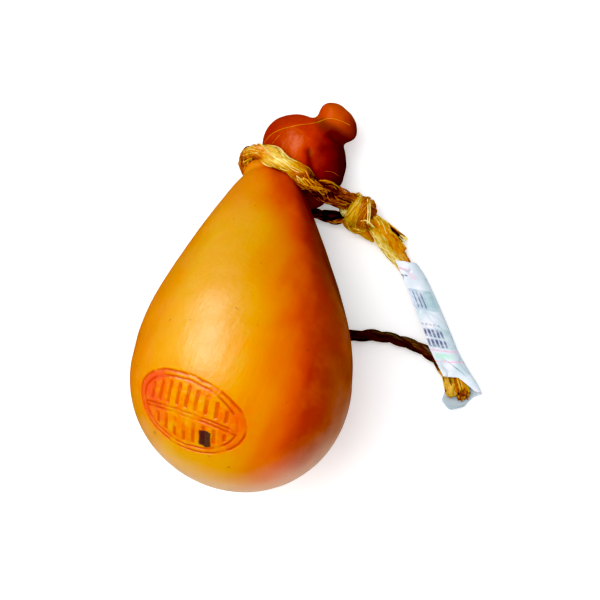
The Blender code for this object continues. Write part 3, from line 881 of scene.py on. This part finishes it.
def onto_body(points, weight):
    """Points near the body moved onto its exact surface, by their own weight."""
    way = BODY_WAY
    from_belly = points - BELLY_CENTRE
    along = from_belly @ way
    lean = ROUND_END_LEAN * (np.clip(along, None, 0.0) / BELLY_RADIUS) ** 2
    core = from_belly - lean[:, None] * np.array((1.0, 0.0, 0.0))
    sideways = core - (core @ way)[:, None] * way
    exact = np.where(
        (along < 0.0)[:, None],
        unit(core) * BELLY_RADIUS,
        (core @ way)[:, None] * way + unit(sideways) * body_radius(along)[:, None],
    )
    exact += BELLY_CENTRE + lean[:, None] * np.array((1.0, 0.0, 0.0))
    return points + weight[:, None] * (exact - points)


def press_details(obj):
    """Soft unevenness, dents, the stamp and the flat underside; and the numbers for the rind."""
    mesh = obj.data
    points = vertex_array(mesh) / MM
    normals = read_array(mesh.vertex_normals, "vector")
    along = (points - BELLY_CENTRE) @ BODY_WAY
    head = beyond_noose(points)
    height = lumps(points, BODY_LUMPS) + head * lumps(points, HEAD_LUMPS)
    stamp_place = stamp_coordinates(points)
    near = along < STAMP_REACH
    line = np.where(near, stamp_lines(*stamp_place), 0.0)
    field = np.where(near, 1.0 - smoothstep(0.96, 1.06, stamp_share(*stamp_place)), 0.0)
    pitted = 1.0 + value_noise(points, 1.5, 39)
    height -= STAMP_DEPTH * line + STAMP_FIELD_DEPTH * field * pitted
    crease = crease_depth(points - PLACE_SHIFT)
    height -= crease
    points = points + normals * height[:, None]
    points[:, 2] = np.maximum(points[:, 2], 0.0)
    set_points(mesh, points)
    set_values(obj, "stamp", line)
    set_stamp_values(obj, points, near, field, *stamp_place)
    set_rind_values(obj, points, along, head)
    set_values(obj, "crease", crease)


def set_stamp_values(obj, points, near, field, across, rise):
    """Where the stamp's field, its dark mark and its blush are."""
    smear = 0.5 * value_noise(points, 1.7, 35)
    beside_mark = np.abs(across - MARK_CENTRE[0]) - MARK_HALF[0]
    above_mark = np.abs(rise - MARK_CENTRE[1]) - MARK_HALF[1]
    mark = 1.0 - smoothstep(0.0, 0.5, np.maximum(beside_mark, above_mark) + smear)
    blotches = 0.5 + 0.5 * smoothstep(-0.4, 0.3, value_noise(points, 4.5, 48))
    blush = smoothstep(-4.0, -18.0, across) + 0.5 * smoothstep(9.0, 20.0, across)
    faded = 0.4 * (1.0 - smoothstep(1.0, 1.45, stamp_share(across, rise)))
    set_values(obj, "field", np.maximum(field, np.where(near, faded, 0.0)))
    set_values(obj, "mark", np.where(near, mark, 0.0))
    set_values(obj, "blush", field * blush * blotches)


def set_rind_values(obj, points, along, head):
    """Where the rind is more or less smoked, where it is painted as lying in the shade, and where
    a painted sheen lightens its underside.

    Along is in mm from the belly to the head, and turned is the radius's share to the right.
    """
    wander = along + lumps(points, SMOKE_AND_SHADE_DRIFT)
    turned = (points[:, 0] - BELLY_CENTRE[0] + along * math.sin(AXIS_YAW)) / body_radius(along)
    left = smoothstep(0.3, -0.6, turned) * smoothstep(52.0, 86.0, along)
    right = smoothstep(0.0, 0.5, turned) * smoothstep(36.0, 68.0, along)
    set_values(obj, "neck", np.maximum(left, right))
    # Where the right flank is painted dark red towards the head: partly smoked colour, partly
    # painted shade.
    smoke_and_shade = smoothstep(0.52, 0.88, turned) * smoothstep(10.0, 60.0, wander) * (1.0 - head)
    set_values(obj, "smoke_and_shade", smoke_and_shade)
    shoulder = 0.34 * smoothstep(52.0, 80.0, along) + 0.1 * smoothstep(84.0, 100.0, along)
    shift = shoulder * (1.0 - smoothstep(0.1, 0.6, turned))
    # Painted shade: the right flank darkens towards the head, whose shadow falls there.
    shift += 1.1 * smoothstep(0.68, 1.0, turned) * smoothstep(14.0, 68.0, wander)
    shift += 0.04 * smoothstep(-8.0, -36.0, along)
    set_values(obj, "flank", share_between(*FLANK_RANGE, np.clip(turned + shift, *FLANK_RANGE)))
    x, y, _ = (points - PLACE_SHIFT).T
    # The head's and the knob's tones darken to the right: partly smoked colour, partly painted
    # shade.
    set_values(obj, "head_flank", share_between(*HEAD_RANGE, x))
    from_knob = np.linalg.norm(points - PLACE_SHIFT - np.array(KNOB_CENTRE), axis=1)
    set_values(obj, "knob", 1.0 - smoothstep(8.0, 13.0, from_knob))
    set_values(obj, "head", head)
    set_values(obj, "nook", nook_depth(points - PLACE_SHIFT) * head)
    # A painted sheen, the bright floor's reflection, on the round end's underside but not on its
    # left rim.
    drift = lumps(points, PALE_DRIFT)
    underside_sheen = smoothstep(32.0, 2.0, (points - BELLY_CENTRE) @ np.array(PALE_WAY) + drift)
    round_end = smoothstep(0.0, -36.0, y - 0.12 * x + 2.0 * drift)
    left_rim = smoothstep(-13.0, -35.0, x + 1.2 * drift) * smoothstep(-42.0, -22.0, y + drift)
    set_values(obj, "underside_sheen", underside_sheen * round_end * (1.0 - left_rim))


def beyond_noose(points):
    """0 on the body's side of the noose and 1 on the head's."""
    x, y, z = (points - PLACE_SHIFT).T
    return smoothstep(94.5, 98.0, y + 0.27 * x - 0.33 * z)


def nook_depth(points):
    """How deep a place on the head lies in the shade of the knob or of the noose, from 0 to 1."""
    x, y, _ = points.T
    from_knob = (points - np.array(KNOB_CENTRE))[:, :2] @ np.array((0.4, 0.92))
    below_knob = smoothstep(-2.4, -6.4, from_knob) * smoothstep(-12.0, -8.0, from_knob)
    below_knob *= smoothstep(14.0, 19.0, x) * (0.75 + 0.25 * smoothstep(20.0, 27.0, x))
    by_noose = smoothstep(102.0, 94.0, y) * smoothstep(9.0, 16.0, x)
    return np.maximum(0.85 * below_knob, by_noose)


def crease_depth(points):
    """How deep the head's creases are pressed in at each place."""
    depth = np.zeros(len(points))
    upper = smoothstep(12.0, 19.0, points[:, 2])
    for start, stop, deepest, wide in CREASES:
        start, way = np.array(start), np.array(stop) - np.array(start)
        share = np.clip(((points[:, :2] - start) @ way) / (way @ way), 0.0, 1.0)
        away = np.linalg.norm(points[:, :2] - start - share[:, None] * way, axis=1)
        depth = np.maximum(depth, deepest * np.exp(-((away / wide) ** 2)) * upper)
    return depth


def rind_material(name, roughness, specular, gloss_tint):
    nodes = Nodes(name)

    def share_of(value, share):
        return nodes.times(nodes.attribute(value), share)

    # The rind is redder and darker on the right flank, round the neck and on the head: partly
    # smoked colour, partly painted shade where the light from the left falls off.
    drift = nodes.around_zero(nodes.noise(30.0, 3.0), 0.16)
    grain = nodes.around_zero(nodes.noise(95.0, 2.0, 0.5, GRAIN_STRETCH, GRAIN_SLANT), 0.13)
    tone = nodes.plus(nodes.attribute("flank"), nodes.plus(drift, grain))
    rind = nodes.ramp(tone, BODY_TONES)
    rind = nodes.mix(nodes.attribute("neck"), rind, NECK_TINT, "MULTIPLY")
    mottle = nodes.levels(nodes.noise(90.0, 4.0, 0.6), 0.42, 0.75)
    rind = nodes.mix(nodes.times(mottle, 0.16), rind, MOTTLE_COLOUR)
    specks = nodes.levels(nodes.noise(330.0, 1.0), 0.775, 0.80)
    rind = nodes.mix(nodes.times(specks, 0.4), rind, SPECK_COLOUR)
    uneven = nodes.around_zero(nodes.noise(70.0, 4.0, 0.6), 0.3)
    head_tone = nodes.plus(nodes.attribute("head_flank"), uneven)
    smoked = nodes.ramp(head_tone, HEAD_TONES)
    smoked = nodes.mix(nodes.attribute("knob"), smoked, nodes.ramp(head_tone, KNOB_TONES))
    rind = nodes.mix(nodes.attribute("head"), rind, smoked)
    blotch = nodes.levels(nodes.noise(260.0, 3.0, 0.6), 0.35, 0.65, 0.15, 0.75)
    overlays = (
        ("smoke_and_shade", 0.85, SMOKE_AND_SHADE_COLOUR),
        ("nook", 0.85, NOOK_SHADE_COLOUR),
        ("crease", 1.1, CREASE_SHADE_COLOUR),
        ("underside_sheen", 0.85, UNDERSIDE_SHEEN_COLOUR),
        ("field", blotch, STAMP_FIELD),
        ("blush", 0.75, STAMP_BLUSH),
        ("stamp", 0.75, STAMP_RED),
        ("mark", 0.9, STAMP_INK),
    )
    for value, share, colour in overlays:
        rind = nodes.mix(share_of(value, share), rind, colour)
    duller = nodes.plus(share_of("knob", 0.16), share_of("nook", 0.5))
    shine = nodes.levels(nodes.noise(140.0, 3.0), 0.3, 0.7, *roughness)
    nodes.surface(rind, nodes.plus(shine, duller), specular)
    nodes.set("Specular Tint", gloss_tint)
    nodes.set("Subsurface Weight", 0.08)
    nodes.set("Subsurface Radius", (0.004, 0.001, 0.0003))
    nodes.set("Subsurface Scale", 1.0)
    fine = nodes.noise(420.0, 3.0)
    streaks = nodes.noise(330.0, 3.0, 0.6, STREAK_STRETCH, GRAIN_SLANT)
    height = nodes.plus(fine, nodes.times(streaks, 1.6))
    coarse = nodes.times(nodes.noise(190.0, 3.0, 0.6), nodes.attribute("head"))
    nodes.bump(nodes.plus(height, nodes.times(coarse, 3.0)), 0.24, 0.0006)
    return nodes.material


def dress_cheese(cheese):
    """The body's rind, and beyond the noose the head's, which shines less."""
    body = rind_material("smoked_rind", BODY_ROUGHNESS, BODY_SPECULAR, BODY_GLOSS_TINT)
    dress(cheese, body, "smoked_rind", "cheese")
    head_rind = rind_material("smoked_head", HEAD_ROUGHNESS, HEAD_SPECULAR, HEAD_GLOSS_TINT)
    cheese.data.materials.append(head_rind)
    head = beyond_noose(vertex_array(cheese.data) / MM)
    for face in cheese.data.polygons:
        face.material_index = int(head[face.vertices[0]] > 0.5)


# ================================================================ straw
def across_frames(centres):
    """Two unit vectors across each of several lines at every point, with no sudden turns."""
    forward = unit(np.gradient(centres, axis=1))
    first = np.zeros_like(centres)
    start = np.tile((0.0, 0.0, 1.0), (len(centres), 1))
    flat = np.abs((forward[:, 0] * start).sum(-1)) > 0.95
    start[flat] = (1.0, 0.0, 0.0)
    side = unit(np.cross(forward[:, 0], start))
    first[:, 0] = side
    for spot in range(1, centres.shape[1]):
        here = forward[:, spot]
        side = unit(side - (side * here).sum(-1, keepdims=True) * here)
        first[:, spot] = side
    return first, np.cross(forward, first)


def wound(line, reach, angle):
    """Lines wound round one line, at this reach and angle from it at each of its points."""
    first, second = across_frames(line[None])
    beside = (reach * np.cos(angle))[..., None] * first
    return line[None] + beside + (reach * np.sin(angle))[..., None] * second


def tubes(centres, radii, sides, flat, spin):
    """Closed tubes round several lines of equal point count, as points and faces.

    Each tube is as flat as this share, and is turned round its line by the spin.
    """
    lines, count = centres.shape[:2]
    first, second = across_frames(centres)
    angle = np.arange(sides) * 2 * math.pi / sides
    wide = radii[:, :, None] * np.cos(angle)
    thin = radii[:, :, None] * np.sin(angle) * flat
    cos, sin = np.cos(spin), np.sin(spin)
    wide, thin = wide * cos - thin * sin, wide * sin + thin * cos
    points = (
        centres[:, :, None, :]
        + wide[..., None] * first[:, :, None, :]
        + thin[..., None] * second[:, :, None, :]
    )
    faces = []
    for line in range(lines):
        base = line * count * sides
        for ring in range(count - 1):
            low = base + ring * sides
            for side in range(sides):
                after = (side + 1) % sides
                faces.append((low + side, low + after, low + sides + after, low + sides + side))
        faces.append(tuple(base + side for side in range(sides - 1, -1, -1)))
        faces.append(tuple(base + (count - 1) * sides + side for side in range(sides)))
    return points.reshape(-1, 3), faces


class Straw:
    """Collects fibres as tubes, each with a tone of its own, and makes one mesh of them."""

    def __init__(self, seed):
        self.random = np.random.default_rng(seed)
        self.points = []
        self.faces = []
        self.tones = []
        self.count = 0

    def add(self, centres, radii, sides, tones, flat=1.0, spin=0.0):
        """Tubes round lines given as an array of lines, points and coordinates."""
        points, faces = tubes(centres, radii, sides, flat, spin)
        self.points.append(points)
        self.faces += renumbered(faces, self.count)
        tones = np.broadcast_to(np.asarray(tones, float), centres.shape[:2])
        self.tones.append(np.repeat(np.clip(tones, 0.0, 1.0).ravel(), sides))
        self.count += len(points)

    def bundle(self, line, radius, fibres, lay, fibre=FIBRE_SIZE, tone=0.5, spread=0.13, loose=0):
        """Fibres twisted round one line, where the lay is the length of one turn.

        Radius and tone may change along the line.
        """
        line = np.asarray(line, float)
        count = len(line)
        radius = np.broadcast_to(np.asarray(radius, float), (count,))
        tone = np.broadcast_to(np.asarray(tone, float), (count,))
        along = length_along(line)
        random = self.random
        start = random.uniform(0.0, 2 * math.pi, fibres)
        depth = np.sqrt(random.uniform(0.35, 1.0, fibres))
        wobble = random.uniform(0.0, 2 * math.pi, (fibres, 3))
        pace = random.uniform(0.5, 1.3, (fibres, 3)) * 2 * math.pi / FIBRE_WAVE
        wave = np.sin(wobble[:, :, None] + pace[:, :, None] * along[None, None])
        angle = start[:, None] + along[None] * 2 * math.pi / lay + 0.4 * wave[:, 0]
        swell = 1.0 + 0.13 * wave[:, 1]
        if loose > 0:
            stray = random.uniform(0.0, 1.0, fibres) ** 5 * loose
            swell = swell + stray[:, None] * np.clip(wave[:, 2], 0.0, 1.0)
        reach = np.clip(radius[None] - fibre * 0.8, 0.1, None) * depth[:, None] * swell
        size = fibre * random.uniform(0.55, 1.35, fibres)
        radii = np.repeat(size[:, None], count, axis=1)
        radii[:, [0, -1]] *= 0.6
        lots = np.sin(2.0 * start + random.uniform(0.0, 2 * math.pi))
        lots = spread * (lots + random.normal(0.0, 0.7, fibres))
        tones = tone[None] + lots[:, None] + 0.08 * wave[:, 2]
        flat = random.uniform(0.45, 0.8, fibres)[:, None, None]
        self.add(wound(line, reach, angle), radii, 5, tones, flat, angle[:, :, None])
        # The solid core under the fibres has a darker tone: painted shade between the fibres.
        self.add(line[None], 0.84 * radius[None], 12, tone[None] - 0.12)

    def rope(self, line, diameter, lay, fibres, tones, plies=2, phase=0.0, **more):
        """Plies twisted round each other along one line, each ply a bundle of fibres."""
        line = np.asarray(line, float)
        diameter = np.broadcast_to(np.asarray(diameter, float), (len(line),))
        turned = length_along(line) * 2 * math.pi / lay
        thick = diameter * PLY_RADIUS
        for ply in range(plies):
            angle = phase + 2 * math.pi * ply / plies + turned
            centre = wound(line, diameter * PLY_OFFSET, angle[None])[0]
            self.bundle(centre, thick, fibres, -lay * PLY_LAY, tone=tones[ply], **more)

    def hair(self, line, size, tone):
        """One loose fibre that thins out at both ends."""
        line = np.asarray(line, float)
        radii = np.full((1, len(line)), size)
        radii[:, [0, -1]] *= 0.4
        self.add(line[None], radii, 5, tone)

    def make(self, name, material, node):
        """The piece of this name, which stands for this node of the part."""
        points = (np.vstack(self.points) + PLACE_SHIFT) * MM
        points[:, 2] = np.maximum(points[:, 2], STRAW_ABOVE_TABLE * MM)
        obj = new_object(name, points, self.faces)
        set_values(obj, "tone", np.concatenate(self.tones))
        dress(obj, material, "straw", node)
        return obj


def straw_material(name, tones):
    nodes = Nodes(name)
    streak = nodes.around_zero(nodes.noise(420.0, 3.0, 0.6), 0.5)
    colour = nodes.ramp(nodes.plus(nodes.attribute("tone"), streak), tones)
    nodes.surface(colour, nodes.levels(nodes.noise(900.0), 0.3, 0.7, 0.42, 0.62), 0.2)
    nodes.bump(nodes.noise(1400.0, 3.0), 0.25, 0.0003)
    return nodes.material


def make_noose(straw, cheese):
    """The cord's turn round the neck, and the stray fibres that lie on the head."""
    made = Straw(11)
    line = curve_points((NOOSE_ENDS[0], *NOOSE_ROUTE, NOOSE_ENDS[1]), CORD_STEP)
    share = shares(line)
    sag, sag_place, sag_spread = NOOSE_SAG
    line[:, 1] -= sag * np.exp(-(((share - sag_place) / sag_spread) ** 2))
    wide = np.interp(share, *NOOSE_WIDTHS)
    front = np.interp(share, *NOOSE_TONES)
    tones = (front, front - 0.06)
    more = {"phase": NOOSE_PHASE, "loose": 0.6, "spread": 0.17}
    made.rope(line, wide, NOOSE_LAY, NOOSE_FIBRES, tones, **more)
    # The core's darker tone is painted shade where it shows between the plies.
    made.bundle(line, wide * 0.39, CORE_FIBRES, CORE_LAY, fibre=0.45, tone=front - 0.10)
    surface = BVHTree.FromObject(cheese, bpy.context.evaluated_depsgraph_get())
    for route, size, tone in STRAY_HAIRS:
        draped = []
        for x, y in curve_points(route, FINE_STEP):
            above = Vector(place((x, y, HAIR_DROP)))
            hit = surface.ray_cast(above, Vector((0.0, 0.0, -1.0)))[0]
            if hit is not None:
                rise = np.array((0.0, 0.0, size * 0.7))
                draped.append(np.array(hit) / MM - PLACE_SHIFT + rise)
        made.hair(np.array(draped), size, tone)
    return made.make("noose", straw, "neck_noose")


def ring_route(centre, tilt, wide, high):
    """An oval turn of cord round the knot, tilted by so many degrees."""
    angles = np.radians(np.arange(0.0, 360.1, 12.0))
    level = np.zeros_like(angles)
    local = np.stack([level, wide * np.cos(angles), high * np.sin(angles)], axis=1)
    cos, sin = math.cos(math.radians(tilt)), math.sin(math.radians(tilt))
    tip = np.array(((cos, 0.0, sin), (0.0, 1.0, 0.0), (-sin, 0.0, cos)))
    return local @ tip.T @ turn_matrix(KNOT_BAND_TURN).T + centre


def make_knot(straw):
    """Turns of cord drawn tight round a core, with lobes beside them and loose fibres."""
    made = Straw(23)
    centre = np.array(KNOT_CENTRE)
    across = turn_matrix(KNOT_BAND_TURN)[:, 0]
    core = centre + np.outer(np.linspace(*KNOT_CORE, KNOT_CORE_POINTS), across)
    swell = np.sqrt(1.0 - (np.linspace(-1.0, 1.0, KNOT_CORE_POINTS) * 0.85) ** 2)
    thick = KNOT_CORE_RADIUS * swell
    made.bundle(core, thick, CORE_FIBRES, CORE_LAY, fibre=0.5, tone=0.35)
    for along, radii, thick, tilt, fibres, tone in KNOT_BANDS:
        ring = ring_route(centre + across * along, tilt, *radii)
        line = curve_points(ring, FINE_STEP)
        made.bundle(line, thick, fibres, KNOT_BAND_LAY, tone=tone, loose=0.2)
    for route, thick, fibres, tone in KNOT_LOBES:
        line = curve_points(centre + np.array(route), FINE_STEP)
        swell = np.sqrt(1.0 - (np.linspace(-1.0, 1.0, len(line)) * 0.8) ** 2 * 0.6)
        made.bundle(line, thick * swell, fibres, KNOT_LOBE_LAY, tone=tone, loose=0.2)
    for route, size, tone in KNOT_HAIRS:
        made.hair(curve_points(centre + np.array(route), FINE_STEP), size, tone)
    return made.make("knot", straw, "neck_knot")


def across_way(way):
    """The level direction across a way, and the one at right angles to both."""
    side = unit(np.cross((0.0, 0.0, 1.0), way))
    return side, np.cross(way, side)


def make_tail(straw):
    """The cord's short end: a fan of fibres, pale round the edge and dark inside, as painted light
    and painted shade.
    """
    made = Straw(37)
    base = curve_points(TAIL_ROUTE, FINE_STEP)
    along = shares(base)
    side, up = across_way(unit(base[-1] - base[0]))
    random = made.random
    for _ in range(TAIL_FIBRES):
        angle = random.uniform(0.0, 2 * math.pi)
        depth = math.sqrt(random.uniform(0.05, 1.0))
        reach = TAIL_DIAMETER / 2 * (0.75 + 0.75 * along**1.2) * depth
        shift = np.outer(reach * math.cos(angle), side)
        shift += np.outer(reach * 0.7 * math.sin(angle), up)
        shift += np.outer(0.35 * np.sin(along * 5.0 + 3.0 * angle), side)
        last = int(len(base) * random.uniform(0.72, 1.0))
        edge = depth * max(abs(math.cos(angle)), 0.6 * math.sin(angle))
        tone = smoothstep(0.55, 0.95, edge) * 0.75 + random.normal(0.05, 0.12)
        made.hair((base + shift)[:last], random.uniform(0.22, 0.42), float(np.clip(tone, 0, 1)))
    inner = base[: int(len(base) * 0.8)]
    made.bundle(inner, TAIL_DIAMETER * 0.4, 12, 90.0, fibre=0.4, tone=0.08, spread=0.1)
    for lift in TAIL_EDGE_HAIRS:
        made.hair(base + np.outer(0.7 + 0.6 * along, side) * lift + 0.9 * up, 0.26, 0.92)
    for route, thick, fibres, tone in TAIL_FANS:
        line = curve_points(route, FINE_STEP)
        made.bundle(line, thick, fibres, TAIL_FAN_LAY, tone=tone, loose=0.3)
    return made.make("frayed_tail", straw, "knot_tail")


def cut_end(made, line, radius, tone):
    """A cord's end, cut at a slant that faces up: the fibres end a little unevenly."""
    way = unit(line[-1] - line[-3])
    side, up = across_way(way)
    golden = math.pi * (3.0 - math.sqrt(5.0))
    for number in range(CUT_FIBRES):
        spread = math.sqrt((number + 0.5) / CUT_FIBRES)
        lift = 0.85 * math.sin(number * golden) * spread * radius
        shift = math.cos(number * golden) * spread * radius * side + lift * up
        push = made.random.uniform(-0.4, 0.6) - 0.9 * (lift + radius * 0.3)
        start = line[-1] - way * CUT_FIBRE_LENGTH + shift * 0.9
        stop = line[-1] + way * push + shift
        shade = float(np.clip(tone + made.random.normal(0.0, 0.18), 0.0, 1.0))
        made.add(np.linspace(start, stop, 5)[None], np.full((1, 5), CUT_FIBRE_SIZE), 6, shade)


def make_label_cord(straw):
    """The pale strand through the label, and its middle line."""
    made = Straw(41)
    line = curve_points(LABEL_CORD_ROUTE, CORD_STEP)
    share = shares(line)
    wide = np.interp(share, *LABEL_CORD_WIDTHS)
    left = np.interp(share, *LABEL_CORD_LEFT_TONES)
    right = np.interp(share, *LABEL_CORD_RIGHT_TONES)
    away = smoothstep(0.84, 1.0, share)
    shown = line + away[:, None] * np.array(LABEL_CORD_SHIFT)
    more = {"phase": LABEL_CORD_PHASE, "loose": 0.4}
    made.rope(shown, wide, LABEL_CORD_LAY, LABEL_CORD_FIBRES, (left, right), **more)
    cut_end(made, shown, *LABEL_CORD_CUT)
    return made.make("label_strand", straw, "label_cord"), line


def make_return_cord(straw):
    """The strand that comes back from under the cheese, painted dark as shade from the cheese and
    lit towards its end, and its middle line.
    """
    made = Straw(53)
    line = curve_points(RETURN_CORD_ROUTE, CORD_STEP)
    share = shares(line)
    wide = np.interp(share, *RETURN_CORD_WIDTHS)
    lit = 0.68 * smoothstep(0.86, 0.90, share) + 0.03 * smoothstep(0.5, 0.8, share)
    away = np.interp(share, *RETURN_CORD_SHIFTS)
    shown = line + away[:, None] * np.array(RETURN_CORD_WAY)
    tones = (lit + 0.40, lit + 0.24, lit + 0.34)
    made.rope(shown, wide, RETURN_CORD_LAY, RETURN_CORD_FIBRES, tones, plies=3, loose=0.3)
    cut_end(made, shown[:-2], *RETURN_CORD_CUT)
    return made.make("return_strand", straw, "return_cord"), line


# ================================================================ the label
def label_section(fold, half_width):
    """A place round the label's fold as distances across the label and up."""
    flat = 2 * half_width - LABEL_HALF_HEIGHT
    if fold < LABEL_SLEEVE:
        return -half_width + flat * fold / LABEL_SLEEVE, LABEL_HALF_HEIGHT
    if fold > 1.0 - LABEL_SLEEVE:
        return -half_width + flat * (1.0 - fold) / LABEL_SLEEVE, -LABEL_HALF_HEIGHT
    turn = math.pi * (fold - LABEL_SLEEVE) / (1.0 - 2 * LABEL_SLEEVE)
    middle = half_width - LABEL_HALF_HEIGHT
    return middle + LABEL_HALF_HEIGHT * math.sin(turn), LABEL_HALF_HEIGHT * math.cos(turn)


def label_spot(line, length, along, fold):
    """A point of the label for a place down it and round its fold."""
    past = max(0.0, along - LABEL_CURL_FROM) * length
    curled = float(smoothstep(*LABEL_CURL_FOLDS, fold))
    turn = past / LABEL_CURL_RADIUS
    flat_along = along + curled * (LABEL_CURL_RADIUS * math.sin(turn) - past) / length
    spot = min(flat_along, 1.0) * (len(line) - 1)
    low = max(0, min(int(spot), len(line) - 2))
    here = line[low] + (line[low + 1] - line[low]) * (spot - low)
    forward = unit(line[low + 1] - line[low])
    outward = np.array((-forward[1], forward[0], 0.0))
    across, up = label_section(fold, float(np.interp(along, *LABEL_HALF_WIDTHS)))
    up += curled * LABEL_CURL_RADIUS * (1.0 - math.cos(turn))
    inner = float(smoothstep(*LABEL_INNER_FOLDS, fold))
    across += LABEL_TUCK * inner * (1.0 - float(smoothstep(*LABEL_TUCK_PLACES, along)))
    cup = inner * float(smoothstep(*LABEL_CUP_PLACES, along))
    across -= LABEL_CUP[0] * cup
    up += LABEL_CUP[1] * cup**1.5
    return here + outward * across + np.array((0.0, 0.0, LABEL_LIFT + up))


def make_label():
    """A strip folded round the cord, open at its lower end, where its lower sheet curls up."""
    line = curve_points([(x, y, 0.0) for x, y in LABEL_MIDDLE], OUTLINE_STEP)
    length = path_length(line)
    rings, sides = LABEL_RINGS, LABEL_SIDES
    points = []
    printed = []
    for ring in range(rings + 1):
        for side in range(sides + 1):
            fold = side / sides
            start = float(np.interp(fold, *LABEL_STARTS))
            stop = float(np.interp(fold, *LABEL_ENDS))
            along = start + (stop - start) * ring / rings
            points.append(label_spot(line, length, along, fold))
            printed.append((along, fold))
    points = np.array(points)
    printed = np.array(printed)
    ridges, ruffle = paper_ruffle(points)
    upper = smoothstep(4.0, 6.5, points[:, 2])
    points[:, 2] += upper * (0.7 * value_noise(points, 6.5, 9) - 0.6 * ruffle + 0.4 * ridges)
    faces = []
    for ring in range(rings):
        for side in range(sides):
            here = ring * (sides + 1) + side
            faces.append((here, here + 1, here + sides + 2, here + sides + 1))
    obj = new_object("folded_label", (points + PLACE_SHIFT) * MM, faces)
    set_values(obj, "down", printed[:, 0] - LABEL_SKEW * printed[:, 1])
    set_values(obj, "fold", printed[:, 1])
    set_values(obj, "ruffle", ruffle)
    thick = obj.modifiers.new("paper", "SOLIDIFY")
    thick.thickness = LABEL_PAPER * MM
    thick.offset = 0.0
    apply_modifiers(obj)
    obj.data.shade_smooth()
    dress(obj, label_material(), "label_paper", "paper_label")
    return obj


def paper_ruffle(points):
    """Slanting folds of crumpled paper: their smooth rise, and how deep a sharp crease is."""
    along = points[:, :2] @ np.array(RUFFLE_WAY)
    beside = points[:, :2] @ np.array((-RUFFLE_WAY[1], RUFFLE_WAY[0]))
    flat = np.stack([along / 3.0, beside, np.zeros_like(along)], axis=1)
    ridges = value_noise(flat, 2.4, 12)
    some = smoothstep(-0.2, 0.4, value_noise(points, 9.0, 13))
    return ridges, smoothstep(0.16, 0.0, np.abs(ridges)) * some


def label_material():
    nodes = Nodes("label_paper")
    down = nodes.attribute("down")
    fold = nodes.attribute("fold")

    def band(value, low, high, soft):
        rise = nodes.levels(value, low - soft, low + soft)
        fall = nodes.levels(value, high - soft, high + soft, 1.0, 0.0)
        return nodes.times(rise, fall)

    paper = nodes.ramp(nodes.noise(110.0, 3.0, 0.6), PAPER_TONES)
    # Painted shade on the fold's right side, which turns from the light, and on the lower sheet's
    # inner face.
    rolled = nodes.levels(fold, 0.22, 0.42, 0.0, 0.40)
    rolled = nodes.times(rolled, nodes.levels(down, 0.74, 0.80, 1.0, 0.0))
    inner = nodes.levels(fold, 0.60, 0.72, 0.0, 0.5)
    paper = nodes.mix(nodes.math("MAXIMUM", rolled, inner), paper, PAPER_SHADE)
    smudge = nodes.levels(nodes.noise(420.0, 3.0, 0.6), 0.40, 0.60, 0.55, 1.0)
    blue = nodes.mix(nodes.levels(fold, 0.05, 0.36), PRINT_BLUE, PRINT_GREEN)

    def ink(colour, down_range, fold_range, share, beats=None):
        nonlocal paper
        part = nodes.times(band(down, *down_range, 0.004), band(fold, *fold_range, 0.008))
        part = nodes.times(nodes.times(part, share), smudge)
        if beats is not None:
            part = nodes.times(part, beats)
        paper = nodes.mix(part, paper, colour)

    ink(PRINT_PINK, (0.010, 0.026), (0.0, 0.28), 0.8)
    ink(PRINT_NAVY, (0.062, 0.074), (0.0, 0.13), 0.9)
    ink(PRINT_PINK, (0.040, 0.090), (0.16, 0.30), 0.5)
    ink(blue, (0.165, 0.310), (0.02, 0.42), 0.8)
    for start in (0.08, 0.15, 0.22):
        ink(PRINT_NAVY, (0.185, 0.295), (start, start + 0.022), 0.9)
    wave = nodes.math("MULTIPLY_ADD", nodes.noise(150.0), 0.02, fold)
    beat = nodes.math("FRACT", nodes.times(wave, 14.0))
    beat = nodes.levels(beat, 0.30, 0.42)
    ink(blue, (0.435, 0.575), (0.06, 0.46), 0.45)
    for low, high, share in ((0.405, 0.420, 0.5), (0.446, 0.500, 0.95), (0.514, 0.566, 0.9)):
        ink(PRINT_NAVY, (low, high), (0.02, 0.34), share, beat)
    ink(PRINT_PINK, (0.586, 0.595), (0.0, 0.48), 0.9)
    ink(PRINT_MINT, (0.612, 0.648), (0.04, 0.36), 0.9)
    ink(PRINT_PINK, (0.664, 0.673), (0.0, 0.48), 0.9)
    # Painted shade in the paper's sharp creases.
    paper = nodes.mix(nodes.times(nodes.attribute("ruffle"), 0.6), paper, PAPER_SHADE)
    nodes.surface(paper, nodes.levels(nodes.noise(300.0), 0.3, 0.7, 0.38, 0.5), 0.45)
    nodes.bump(nodes.noise(260.0, 3.0), 0.2, 0.0005)
    return nodes.material


# ================================================================ put together
def main():
    add_camera()
    add_floor()
    add_light()
    straw = straw_material("golden_straw", STRAW_TONES)
    dark = straw_material("shaded_straw", DARK_STRAW_TONES)
    cheese = make_cheese()
    dress_cheese(cheese)
    make_noose(straw, cheese)
    make_knot(straw)
    tail = make_tail(straw)
    label_strand, label_line = make_label_cord(straw)
    return_strand, return_line = make_return_cord(dark)
    label = make_label()
    view = bpy.context.scene.view_settings
    view.view_transform = "Standard"
    view.look = "None"
    view.use_curve_mapping = True
    view.curve_mapping.black_level = BLACK_LEVEL
    view.curve_mapping.update()


main()
